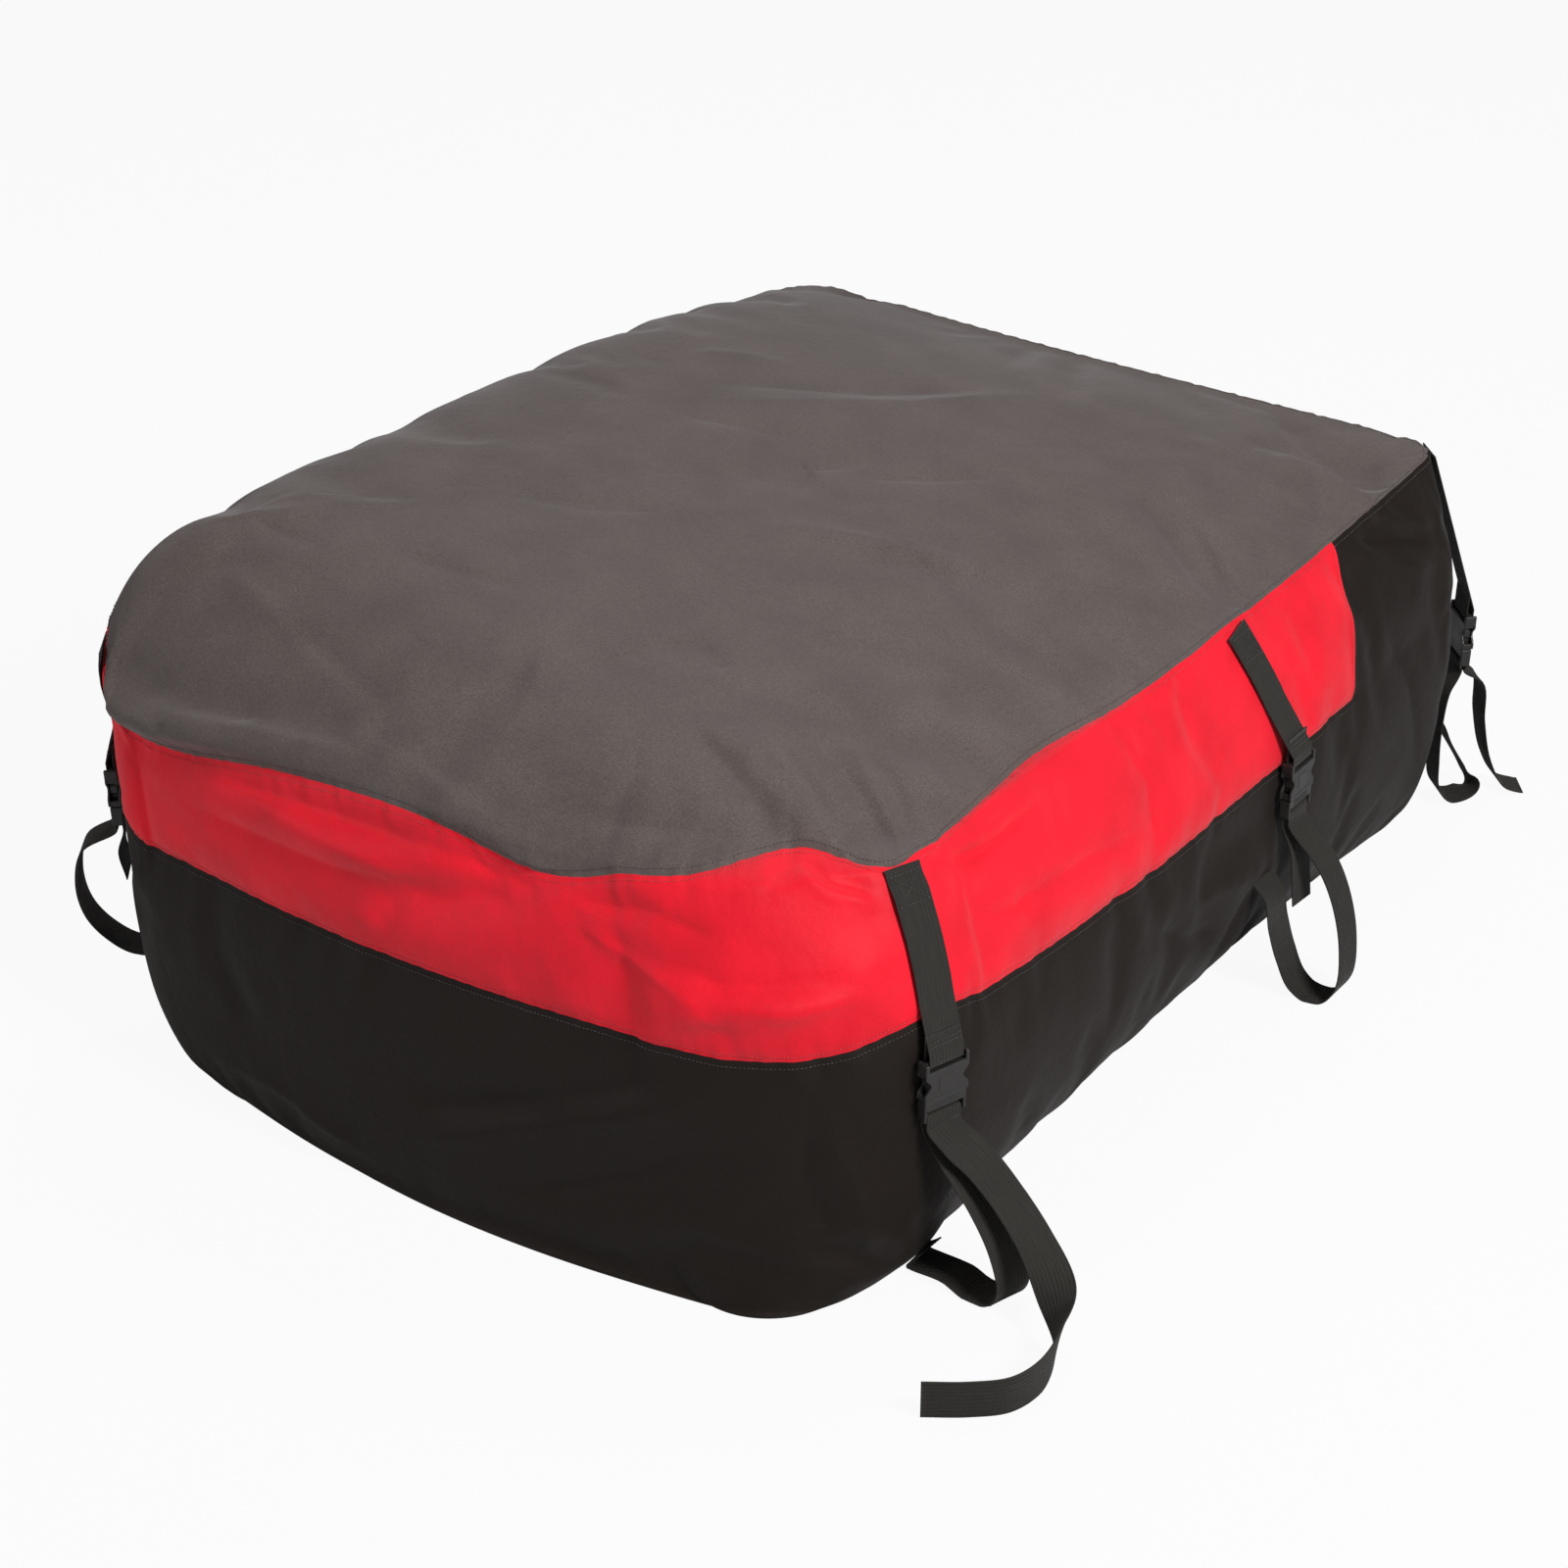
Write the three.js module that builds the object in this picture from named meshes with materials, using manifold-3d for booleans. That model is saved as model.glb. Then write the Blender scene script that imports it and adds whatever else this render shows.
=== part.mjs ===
// A soft roof cargo bag, packed full, with six strap stations and a zip across its rear.
// Millimetres, +Z up. The front is at -Y and the right side at +X. The origin is on the base.
import * as THREE from 'three';
import { mergeVertices } from 'three/addons/utils/BufferGeometryUtils.js';
import Module from 'manifold-3d';

const wasm = await Module();
wasm.setup();

// Plan outlines of the packed bag at three heights. Each is the distance of its four sides from the
// origin, how far each side bows outward, and its four corner radii.
const SEAM_RIGHT = 372;
const SEAM_LEFT = 452;
const SEAM_FRONT = 566;
const SEAM_REAR = 626;
const BULGE_RIGHT = 434;
const BULGE_LEFT = 440;
const BULGE_FRONT = 598;
const BULGE_REAR = 622;
const BASE_RIGHT = 364;
const BASE_LEFT = 340;
const BASE_FRONT = 606;
const BASE_REAR = 570;
const SEAM_OUTLINE = {
  right: SEAM_RIGHT, left: SEAM_LEFT, front: SEAM_FRONT, rear: SEAM_REAR,
  bow: [34, 6, 0, 14], radius: [215, 45, 90, 45],
};
const BULGE_OUTLINE = {
  right: BULGE_RIGHT, left: BULGE_LEFT, front: BULGE_FRONT, rear: BULGE_REAR,
  bow: [24, 6, 0, 8], radius: [222, 90, 130, 82],
};
const BASE_OUTLINE = {
  right: BASE_RIGHT, left: BASE_LEFT, front: BASE_FRONT, rear: BASE_REAR,
  bow: [34, -52, 0, 0], radius: [95, 90, 120, 118],
};

// Heights and profile of the bag.
const SEAM_HEIGHT = 400;
const LEFT_LIFT = 58;
const LEFT_LIFT_SLOPE = 32;
const REAR_LIFT = 16;
const LEFT_REAR_FALL = 0.35;
const DOME_RISE = 118;
const LEFT_DOME_LOSS = 22;
const BULGE_SHARE = 0.42;
const LOWER_ROUNDNESS = 2.6;

// The coloured band under the top seam.
const BAND_THICKNESS = 1.2;
const BAND_SHARE = 0.36;
const BAND_CORNER_RISE = 0.055;
const BAND_CORNER_PLACE = 1.83;
const BAND_CORNER_SPREAD = 0.24;
const BAND_END = 2.77;
const BAND_MARGIN = 15;
const SKIN_GAP = 0.4;

// Webbing and its buckles.
const WEB_WIDTH = 38;
const WEB_THICKNESS = 1.8;
const WEB_GAP = 0.3;
const BUCKLE_CLEARANCE = 0.6;
const REACH_MARGIN = 6;
const SOCKET_LENGTH = 40;
const SOCKET_WIDTH = 48;
const SOCKET_THICKNESS = 13;
const SOCKET_WALL = 2.5;
const SLOT_LENGTH = 5;
const BAR_LENGTH = 4;
const BAR_THICKNESS = 4.6;
const WAIST_RADIUS = 10;
const PLUG_HEAD_LENGTH = 8.4;
const PLUG_SLOT_LENGTH = 8;
const PRONG_LENGTH = 24;
const PRONG_WIDTH = 5.6;
const PLUG_INSET = 1;
const GUIDE_WIDTH = 5;
const GUIDE_SETBACK = 6;
const RUNNING_GAP = 0.6;
const WEB_FOLD_BACK = 24;
const SEWN_LENGTH = 16;
const HANGING_OFF = 22;
const STRAIGHT_RUN = 44;
const FLOOR_GAP = 0.3;

// The zip across the rear.
const ZIP_HEIGHT = 352;
const ZIP_HALF_LENGTH = 270;
const ZIP_TAPE_WIDTH = 32;
const ZIP_TAPE_THICKNESS = 1.4;
const COIL_WIDTH = 7;
const COIL_HEIGHT = 2.2;
const SLIDER_LENGTH = 16;
const SLIDER_WIDTH = 13;
const SLIDER_PLATE = 1.6;
const SLIDER_SPACING = 22;
const SLIDER_GAP = 0.5;
const EAR_WIDTH = 1.8;
const EAR_LENGTH = 6;
const PULL_LENGTH = 36;
const PULL_WIDTH = 9;
const PULL_NECK_WIDTH = 5.6;
const PULL_THICKNESS = 2;
const PIN_RADIUS = 1.1;
const PIN_GAP = 0.4;
const FLAP_DEPTH = 44;
const FLAP_THICKNESS = 1.2;

// Colours.
const BLACK_CLOTH = { color: 0x2b2826, roughness: 0.85, metalness: 0 };
const RED_CLOTH = { color: 0xf02836, roughness: 0.8, metalness: 0 };
const WEBBING = { color: 0x3a3836, roughness: 0.9, metalness: 0 };
const BUCKLE_PLASTIC = { color: 0x1c1c1d, roughness: 0.45, metalness: 0 };
const ZIP_METAL = { color: 0x54565a, roughness: 0.4, metalness: 0.8 };

// Where a strap station sits: its place round the seam, how far its buckle hangs sideways and
// outwards of the wall, the height of the top of its buckle, and how much closer its web is sewn in.
const STATIONS = {
  front_right: { place: 1.8, lean: -6, slack: 0, height: SEAM_HEIGHT - 158, seat: 3.1 },
  middle_right: { place: 2.527, lean: 32, slack: 0, height: SEAM_HEIGHT - 136, seat: 0 },
  rear_right: { place: 3.5, lean: 2, slack: 36, height: SEAM_HEIGHT - 182, seat: 0 },
  rear_left: { place: 5.5, lean: -2, slack: 12, height: SEAM_HEIGHT - 178, seat: 0.6 },
  middle_left: { place: 6.47, lean: -30, slack: 0, height: SEAM_HEIGHT - 136, seat: 0 },
  front_left: { place: 7.39, lean: -12, slack: 4, height: SEAM_HEIGHT - 104, seat: 0 },
};

const group = new THREE.Group();

// Adds one sub-part.
function addPart(name, geometry, finish, matrix) {
  const mesh = new THREE.Mesh(geometry, new THREE.MeshStandardMaterial(finish));
  mesh.name = name;
  if (matrix) {
    matrix.decompose(mesh.position, mesh.quaternion, mesh.scale);
  }
  group.add(mesh);
  return mesh;
}

// A geometry from points and triangles.
function meshOf(points, triangles) {
  const geometry = new THREE.BufferGeometry();
  const flat = points.flatMap((p) => [p.x, p.y, p.z]);
  geometry.setAttribute('position', new THREE.Float32BufferAttribute(flat, 3));
  geometry.setIndex(triangles);
  return geometry;
}

// The point of a plan outline at a place from 0 to 8 round it, counted anticlockwise: the front, its
// right corner, the right side, the rear right corner, the rear, its left corner, the left side and
// the front left corner.
function outlinePoint(outline, place) {
  const wrapped = ((place % 8) + 8) % 8;
  const segment = Math.floor(wrapped);
  const f = wrapped - segment;
  const [frontRight, rearRight, rearLeft, frontLeft] = outline.radius;
  const [bowFront, bowRight, bowRear, bowLeft] = outline.bow;
  const bow = 4 * f * (1 - f);
  const turn = (f * Math.PI) / 2;
  const { right, left, front, rear } = outline;
  const mix = THREE.MathUtils.lerp;
  if (segment === 0) {
    return new THREE.Vector2(mix(frontLeft - left, right - frontRight, f), -front - bowFront * bow);
  }
  if (segment === 1) {
    return new THREE.Vector2(
      right - frontRight + frontRight * Math.sin(turn), frontRight - front - frontRight * Math.cos(turn));
  }
  if (segment === 2) {
    return new THREE.Vector2(right + bowRight * bow, mix(frontRight - front, rear - rearRight, f));
  }
  if (segment === 3) {
    return new THREE.Vector2(
      right - rearRight + rearRight * Math.cos(turn), rear - rearRight + rearRight * Math.sin(turn));
  }
  if (segment === 4) {
    return new THREE.Vector2(mix(right - rearRight, rearLeft - left, f), rear + bowRear * bow);
  }
  if (segment === 5) {
    return new THREE.Vector2(
      rearLeft - left - rearLeft * Math.sin(turn), rear - rearLeft + rearLeft * Math.cos(turn));
  }
  if (segment === 6) {
    return new THREE.Vector2(-left - bowLeft * bow, mix(rear - rearLeft, frontLeft - front, f));
  }
  return new THREE.Vector2(
    frontLeft - left - frontLeft * Math.cos(turn), frontLeft - front - frontLeft * Math.sin(turn));
}

// The outward direction of the seam's outline at a place.
function outwardAt(place) {
  const before = outlinePoint(SEAM_OUTLINE, place - 0.001);
  const after = outlinePoint(SEAM_OUTLINE, place + 0.001);
  const tangent = after.sub(before).normalize();
  return new THREE.Vector3(tangent.y, -tangent.x, 0);
}

// The height of the seam's surface over a plan point.
function seamLevel(plan) {
  const halfWidth = (SEAM_RIGHT + SEAM_LEFT) / 2;
  const halfLength = (SEAM_REAR + SEAM_FRONT) / 2;
  const u = THREE.MathUtils.clamp((plan.x - SEAM_RIGHT) / halfWidth + 1, -1, 1);
  const v = THREE.MathUtils.clamp((plan.y - SEAM_REAR) / halfLength + 1, -1, 1);
  const ends = (1 - Math.min(v, 0) ** 14) * (1 - LEFT_REAR_FALL * Math.max(v, 0) ** 4);
  const left = (LEFT_LIFT - LEFT_LIFT_SLOPE * v) * ((1 - u) / 2) ** 4 * ends;
  return { u, v, height: SEAM_HEIGHT + left + REAR_LIFT * ((1 + v) / 2) ** 4 };
}

// Soft folds of the cloth: lines along which it stands out or sinks, by rise, over a width.
const FOLDS = [
  { rise: 15, width: 22, line: [[-470, -470, 405], [-430, -545, 395], [-365, -588, 386], [-292, -600, 393],
    [-161, -603, 405], [0, -597, 405], [95, -588, 395], [190, -570, 402]] },
  { rise: -11, width: 15, line: [[-440, -520, 362], [-365, -590, 352], [-292, -604, 362], [-161, -608, 380],
    [0, -600, 385], [95, -592, 368], [200, -575, 384]] },
  { rise: -10, width: 28, line: [[-300, -470, 500], [-240, -515, 490], [-125, -565, 445],
    [-90, -585, 420]] },
  { rise: -8, width: 36, line: [[-60, -440, 500], [10, -395, 490], [60, -250, 485], [70, -180, 490]] },
  { rise: 9, width: 24, line: [[120, -400, 470], [200, -415, 450], [265, -445, 425], [350, -440, 398]] },
  { rise: -9, width: 18, line: [[190, -320, 460], [240, -350, 440], [345, -405, 405], [360, -420, 398]] },
  { rise: -8, width: 22, line: [[200, 290, 450], [260, 235, 435], [368, 150, 404]] },
  { rise: -9, width: 26, line: [[190, 450, 440], [245, 485, 430], [372, 560, 405]] },
  { rise: 8, width: 20, line: [[150, 400, 450], [200, 430, 440], [360, 490, 408]] },
  { rise: 9, width: 22, line: [[-400, -560, 335], [-300, -592, 340], [-125, -605, 352], [90, -600, 335]] },
  { rise: -10, width: 24, line: [[-120, -610, 325], [-20, -608, 338], [60, -604, 342], [310, -560, 315]] },
  { rise: 10, width: 20, line: [[190, -590, 280], [260, -575, 298], [330, -535, 308], [400, -440, 350]] },
  { rise: -9, width: 20, line: [[370, -420, 390], [390, -370, 372], [405, -220, 360], [405, -150, 365]] },
  { rise: 9, width: 22, line: [[405, -410, 315], [425, -300, 300], [437, -85, 282], [437, 80, 285]] },
  { rise: -10, width: 34, line: [[-310, -600, 240], [-275, -605, 200], [-215, -615, 90]] },
  { rise: -10, width: 30, line: [[-80, -620, 110], [-25, -620, 125], [130, -615, 150], [200, -600, 165]] },
];

// The share of a fold's length at each end over which it fades.
const FOLD_FADE = 0.28;

// Each fold with its line's pieces, and where along the fold each of them starts and ends.
const FOLD_PIECES = FOLDS.map(({ rise, width, line }) => {
  const ends = line.map((end) => new THREE.Vector3(...end));
  const runs = ends.slice(1).map((end, i) => end.distanceTo(ends[i]));
  const total = runs.reduce((sum, run) => sum + run, 0);
  let start = 0;
  const pieces = runs.map((run, i) => {
    const piece = { line: new THREE.Line3(ends[i], ends[i + 1]), start, run: run / total };
    start += run / total;
    return piece;
  });
  return { rise, width, pieces };
});

// How far the folds move the cloth at a point.
function foldRise(point) {
  const foot = new THREE.Vector3();
  let total = 0;
  for (const { rise, width, pieces } of FOLD_PIECES) {
    let nearest = Infinity;
    let at = 0;
    for (const { line, start, run } of pieces) {
      const share = line.closestPointToPointParameter(point, true);
      const distance = line.at(share, foot).distanceTo(point);
      if (distance < nearest) {
        nearest = distance;
        at = start + share * run;
      }
    }
    const fade = THREE.MathUtils.smoothstep(Math.min(at, 1 - at), 0, FOLD_FADE);
    total += rise * fade * Math.exp(-((nearest / width) ** 2));
  }
  return total;
}

// Moves a cloth point along its outward direction by the folds, which tilts up over the seam.
function withFolds(point, place, tilt) {
  const direction = outwardAt(place).multiplyScalar(Math.cos(tilt));
  direction.z = Math.sin(tilt);
  return point.addScaledVector(direction, foldRise(point));
}

// The wall's surface at a place round the bag and a share of the way down from the seam.
function wallPoint(place, share) {
  const seam = outlinePoint(SEAM_OUTLINE, place);
  const bulge = outlinePoint(BULGE_OUTLINE, place);
  const base = outlinePoint(BASE_OUTLINE, place);
  const upper = Math.sin((Math.min(share / BULGE_SHARE, 1) * Math.PI) / 2);
  const below = Math.max(0, (share - BULGE_SHARE) / (1 - BULGE_SHARE));
  const lower = (1 - Math.min(1, below) ** LOWER_ROUNDNESS) ** (1 / LOWER_ROUNDNESS);
  const plan = share < BULGE_SHARE ? seam.clone().lerp(bulge, upper) : base.clone().lerp(bulge, lower);
  const point = new THREE.Vector3(plan.x, plan.y, seamLevel(seam).height * (1 - share));
  const tilt = (Math.PI / 4) * Math.max(0, 1 - share / 0.1);
  return share > 0.97 ? point : withFolds(point, place, tilt);
}

// The top's surface at a place round the bag and a share of the way out from its middle.
function topPoint(place, share) {
  const middle = new THREE.Vector2((SEAM_RIGHT - SEAM_LEFT) / 2, (SEAM_REAR - SEAM_FRONT) / 2);
  const plan = middle.clone().lerp(outlinePoint(SEAM_OUTLINE, place), share);
  const { u, v, height } = seamLevel(plan);
  const across = 1 - ((1 + u) / 2) ** 2.6;
  const along = 1 - Math.max(v, 0) ** 2.3;
  const dome = (DOME_RISE - LEFT_DOME_LOSS * Math.max(0, -u)) * (1 - share ** 9) * across * along;
  const tilt = (Math.PI / 4) * (1 + Math.min(1, (1 - share) / 0.08));
  return withFolds(new THREE.Vector3(plan.x, plan.y, height + dome), place, tilt);
}

// A bell curve round the bag: 1 at its middle place, falling away over its spread.
function bell(place, middle, spread) {
  const away = ((((place - middle + 4) % 8) + 8) % 8) - 4;
  return Math.exp(-((away / spread) ** 2));
}

// Where the top panel's sewn edge strays from the shell's edge, by place, spread and share: above 0
// it hangs down over the wall, and below 0 it draws back over the top.
const SEAM_STRAYS = [
  [0, 0.3, 0.095], [0.89, 0.13, 0.052], [1.5, 0.2, -0.062], [1.78, 0.08, 0.02], [2.17, 0.12, -0.036],
];

// The share at which the top panel ends at a place.
function seamShare(place) {
  return SEAM_STRAYS.reduce((sum, [middle, spread, share]) => sum + share * bell(place, middle, spread), 0);
}

// The shell's surface: shares from -1 to 0 run from the top's middle to its edge, and those from 0
// to 1 down the wall.
function shellPoint(place, share) {
  return share < 0 ? topPoint(place, 1 + share) : wallPoint(place, share);
}

// The share of the wall's height that the band covers at a place.
function bandShare(place) {
  return BAND_SHARE - BAND_CORNER_RISE * bell(place, BAND_CORNER_PLACE, BAND_CORNER_SPREAD);
}

// Places round the bag, closer together on its corners.
const PLACES_PER_SEGMENT = [20, 14, 26, 6, 14, 7, 22, 7];
const PLACES = PLACES_PER_SEGMENT.flatMap((count, segment) => (
  Array.from({ length: count }, (_, i) => segment + i / count)));
const BAND_ROWS = 7;
const LOWER_ROWS = 9;
const TOP_RINGS = 12;

// The rings of surface points from the middle of the top, over the seam, to the edge of the base.
function bagRings() {
  const rings = [];
  const mix = THREE.MathUtils.lerp;
  for (let k = 1; k <= TOP_RINGS; k += 1) {
    const out = 1 - (1 - k / TOP_RINGS) ** 1.7;
    rings.push(PLACES.map((place) => shellPoint(place, mix(-1, seamShare(place), out))));
  }
  for (let k = 1; k <= BAND_ROWS; k += 1) {
    const down = k / BAND_ROWS;
    rings.push(PLACES.map((place) => shellPoint(place, mix(seamShare(place), bandShare(place), down))));
  }
  for (let k = 1; k <= LOWER_ROWS; k += 1) {
    const down = 1 - (1 - k / LOWER_ROWS) ** 1.5;
    rings.push(PLACES.map((place) => wallPoint(place, mix(bandShare(place), 1, down))));
  }
  return rings;
}
const RINGS = bagRings();
const SEAM_RING = TOP_RINGS - 1;

// The closed body of the packed bag, with its load inside.
function bagBody() {
  const count = PLACES.length;
  const last = RINGS.length - 1;
  const middle = topPoint(0, 0);
  const points = [...RINGS.flat(), middle, new THREE.Vector3(0, 0, 0)];
  const topCentre = points.length - 2;
  const baseCentre = points.length - 1;
  const triangles = [];
  for (let i = 0; i < count; i += 1) {
    const j = (i + 1) % count;
    triangles.push(topCentre, i, j);
    for (let k = 0; k < last; k += 1) {
      const a = k * count + i;
      const b = (k + 1) * count + i;
      const c = (k + 1) * count + j;
      const d = k * count + j;
      triangles.push(a, b, c, a, c, d);
    }
    triangles.push(last * count + i, baseCentre, last * count + j);
  }
  return meshOf(points, triangles);
}
const bodyGeometry = bagBody();
addPart('bag_body', bodyGeometry, BLACK_CLOTH);

// The outward normals of the body's surface points.
bodyGeometry.computeVertexNormals();
const BODY_NORMALS = bodyGeometry.getAttribute('normal');
bodyGeometry.deleteAttribute('normal');

// A point that stands off the body's surface over one of its own points.
function standOff(ring, column, distance) {
  const normal = new THREE.Vector3().fromBufferAttribute(BODY_NORMALS, ring * PLACES.length + column);
  return RINGS[ring][column].clone().addScaledVector(normal, distance);
}

// The coloured band: a sewn-on skin under the seam, round the front and part of each side.
function bandSkin() {
  const columns = PLACES.map((place, i) => ({ place, i }))
    .filter(({ place }) => place <= BAND_END || place >= 9 - BAND_END)
    .sort((a, b) => ((a.place + 4) % 8) - ((b.place + 4) % 8));
  const rows = BAND_ROWS + 1;
  const points = [];
  for (const distance of [SKIN_GAP, SKIN_GAP + BAND_THICKNESS]) {
    for (const { i } of columns) {
      for (let k = 0; k < rows; k += 1) {
        points.push(standOff(SEAM_RING + k, i, distance));
      }
    }
  }
  const layer = columns.length * rows;
  const triangles = [];
  const quad = (a, b, c, d) => triangles.push(a, b, c, a, c, d);
  for (let c = 0; c + 1 < columns.length; c += 1) {
    for (let k = 0; k + 1 < rows; k += 1) {
      const a = c * rows + k;
      const b = a + 1;
      const d = a + rows;
      const e = d + 1;
      quad(layer + a, layer + b, layer + e, layer + d);
      quad(a, d, e, b);
    }
    quad(c * rows, layer + c * rows, layer + (c + 1) * rows, (c + 1) * rows);
    const low = c * rows + rows - 1;
    quad(low, low + rows, layer + low + rows, layer + low);
  }
  const end = (columns.length - 1) * rows;
  for (let k = 0; k + 1 < rows; k += 1) {
    quad(k, k + 1, layer + k + 1, layer + k);
    quad(end + k, layer + end + k, layer + end + k + 1, end + k + 1);
  }
  return meshOf(points, triangles);
}
addPart('red_band', bandSkin(), RED_CLOTH);

// A strap station's frame: a point on the seam, and its outward and sideways directions.
function stationFrame({ place }) {
  const out = outwardAt(place);
  const along = new THREE.Vector3(-out.y, out.x, 0);
  const seam = outlinePoint(SEAM_OUTLINE, place);
  return { out, along, seam: new THREE.Vector3(seam.x, seam.y, 0), height: seamLevel(seam).height, place };
}

// A point given by its distances from the station's seam point, with its height from the base.
function atStation(frame, out, along, height) {
  const point = frame.seam.clone().addScaledVector(frame.out, out).addScaledVector(frame.along, along);
  point.z = height;
  return point;
}

// How far out the bag reaches beside a station at a height, found by stepping round and down it.
function reachAt(frame, along, height) {
  let place = frame.place;
  let share = 1 - height / frame.height;
  for (let i = 0; i < 12; i += 1) {
    const point = wallPoint(place, share);
    const step = wallPoint(place + 0.01, share).sub(point).dot(frame.along) / 0.01;
    const miss = along - point.clone().sub(frame.seam).dot(frame.along);
    place += THREE.MathUtils.clamp(miss / Math.max(step, 60), -0.2, 0.2);
    share = THREE.MathUtils.clamp(share + (point.z - height) / frame.height, 0, 1);
  }
  return wallPoint(place, share).sub(frame.seam).dot(frame.out);
}

// Whether the band runs past a place at a height, given the height of the seam there.
function bandCovers(place, height, seamHeight) {
  const beside = place <= BAND_END || place >= 9 - BAND_END;
  return beside && height > seamHeight * (1 - BAND_SHARE) - BAND_MARGIN;
}

// How far out a strip of the given width lies on the bag at a height.
function stripReach(frame, along, height, width = WEB_WIDTH) {
  let reach = -Infinity;
  for (const s of [-0.5, -0.25, 0, 0.25, 0.5]) {
    for (const drop of [-REACH_MARGIN, 0, REACH_MARGIN]) {
      reach = Math.max(reach, reachAt(frame, along + s * width, Math.min(height - drop, frame.height - 2)));
    }
  }
  return reach + (bandCovers(frame.place, height, frame.height) ? SKIN_GAP + BAND_THICKNESS : 0);
}

// A solid of one section swept along points, each with the direction across it. The section is a
// list of distances across and outwards, anticlockwise.
function sweep(points, across, section) {
  const corners = [];
  points.forEach((point, i) => {
    const before = points[Math.max(i - 1, 0)];
    const after = points[Math.min(i + 1, points.length - 1)];
    const tangent = after.clone().sub(before).normalize();
    const side = across[i].clone().addScaledVector(tangent, -across[i].dot(tangent)).normalize();
    const face = side.clone().cross(tangent);
    for (const [s, f] of section) {
      corners.push(point.clone().addScaledVector(side, s).addScaledVector(face, f));
    }
  });
  const n = section.length;
  const triangles = [];
  const last = (points.length - 1) * n;
  for (let i = 0; i + 1 < points.length; i += 1) {
    for (let k = 0; k < n; k += 1) {
      const a = i * n + k;
      const b = i * n + ((k + 1) % n);
      triangles.push(a, b, b + n, a, b + n, a + n);
    }
  }
  const cap = THREE.ShapeUtils.triangulateShape(section.map(([s, f]) => new THREE.Vector2(s, f)), []);
  for (const [a, b, c] of cap) {
    triangles.push(a, c, b, last + a, last + b, last + c);
  }
  return outwardFacing(meshOf(corners, triangles));
}

// A flat ribbon of webbing.
function ribbon(points, across, width = WEB_WIDTH, thickness = WEB_THICKNESS) {
  const x = width / 2;
  const y = thickness / 2;
  return sweep(points, across, [[-x, -y], [x, -y], [x, y], [-x, y]]);
}

// Turns a closed mesh right side out.
function outwardFacing(geometry) {
  const position = geometry.getAttribute('position');
  const index = geometry.getIndex().array;
  let volume = 0;
  const [a, b, c] = [new THREE.Vector3(), new THREE.Vector3(), new THREE.Vector3()];
  for (let i = 0; i < index.length; i += 3) {
    a.fromBufferAttribute(position, index[i]);
    b.fromBufferAttribute(position, index[i + 1]);
    c.fromBufferAttribute(position, index[i + 2]);
    volume += a.dot(b.cross(c));
  }
  if (volume < 0) {
    for (let i = 0; i < index.length; i += 3) {
      [index[i], index[i + 1]] = [index[i + 1], index[i]];
    }
  }
  return geometry;
}

// A closed three.js geometry as a solid that can be joined and cut.
function solid(geometry) {
  const bare = geometry.clone();
  bare.deleteAttribute('normal');
  bare.deleteAttribute('uv');
  const merged = mergeVertices(bare, 1e-4);
  const vertProperties = new Float32Array(merged.getAttribute('position').array);
  const triVerts = new Uint32Array(merged.getIndex().array);
  return new wasm.Manifold(new wasm.Mesh({ numProp: 3, vertProperties, triVerts }));
}

// A solid back as a geometry.
function geometryOf(body) {
  const mesh = body.getMesh();
  const geometry = new THREE.BufferGeometry();
  geometry.setAttribute('position', new THREE.Float32BufferAttribute(mesh.vertProperties, 3));
  geometry.setIndex(Array.from(mesh.triVerts));
  return geometry;
}

// A box between two corners.
function block(low, high) {
  const size = high.map((value, i) => value - low[i]);
  const box = new THREE.BoxGeometry(...size);
  return box.translate(low[0] + size[0] / 2, low[1] + size[1] / 2, low[2] + size[2] / 2);
}

// A plate with round corners, centred across, from one length and height to another.
function roundedPlate(width, from, to, low, high, radius) {
  const shape = new THREE.Shape();
  const x = width / 2;
  shape.moveTo(-x + radius, from);
  shape.lineTo(x - radius, from);
  shape.absarc(x - radius, from + radius, radius, -Math.PI / 2, 0, false);
  shape.absarc(x - radius, to - radius, radius, 0, Math.PI / 2, false);
  shape.absarc(-x + radius, to - radius, radius, Math.PI / 2, Math.PI, false);
  shape.absarc(-x + radius, from + radius, radius, Math.PI, 1.5 * Math.PI, false);
  const settings = { depth: high - low, bevelEnabled: false, curveSegments: 3 };
  return new THREE.ExtrudeGeometry(shape, settings).translate(0, 0, low);
}

// The buckle's own lengths, down from the socket's top. Its back lies at height 0.
const SLOT_END = BAR_LENGTH + SLOT_LENGTH;
const PRONG_TIP = SOCKET_LENGTH - PRONG_LENGTH;
const CAVITY_START = PRONG_TIP - RUNNING_GAP - 1;
const HEAD_START = SOCKET_LENGTH + RUNNING_GAP;
const PLUG_SLOT_START = HEAD_START + PLUG_HEAD_LENGTH;
const END_BAR_START = PLUG_SLOT_START + PLUG_SLOT_LENGTH;
const PLUG_END = END_BAR_START + BAR_LENGTH;
const BAR_LOW = (SOCKET_THICKNESS - BAR_THICKNESS) / 2;
const BAR_HIGH = BAR_LOW + BAR_THICKNESS;
const SLOT_WIDTH = WEB_WIDTH + 2;
const CAVITY_HALF_WIDTH = SOCKET_WIDTH / 2 - 5.5;

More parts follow.
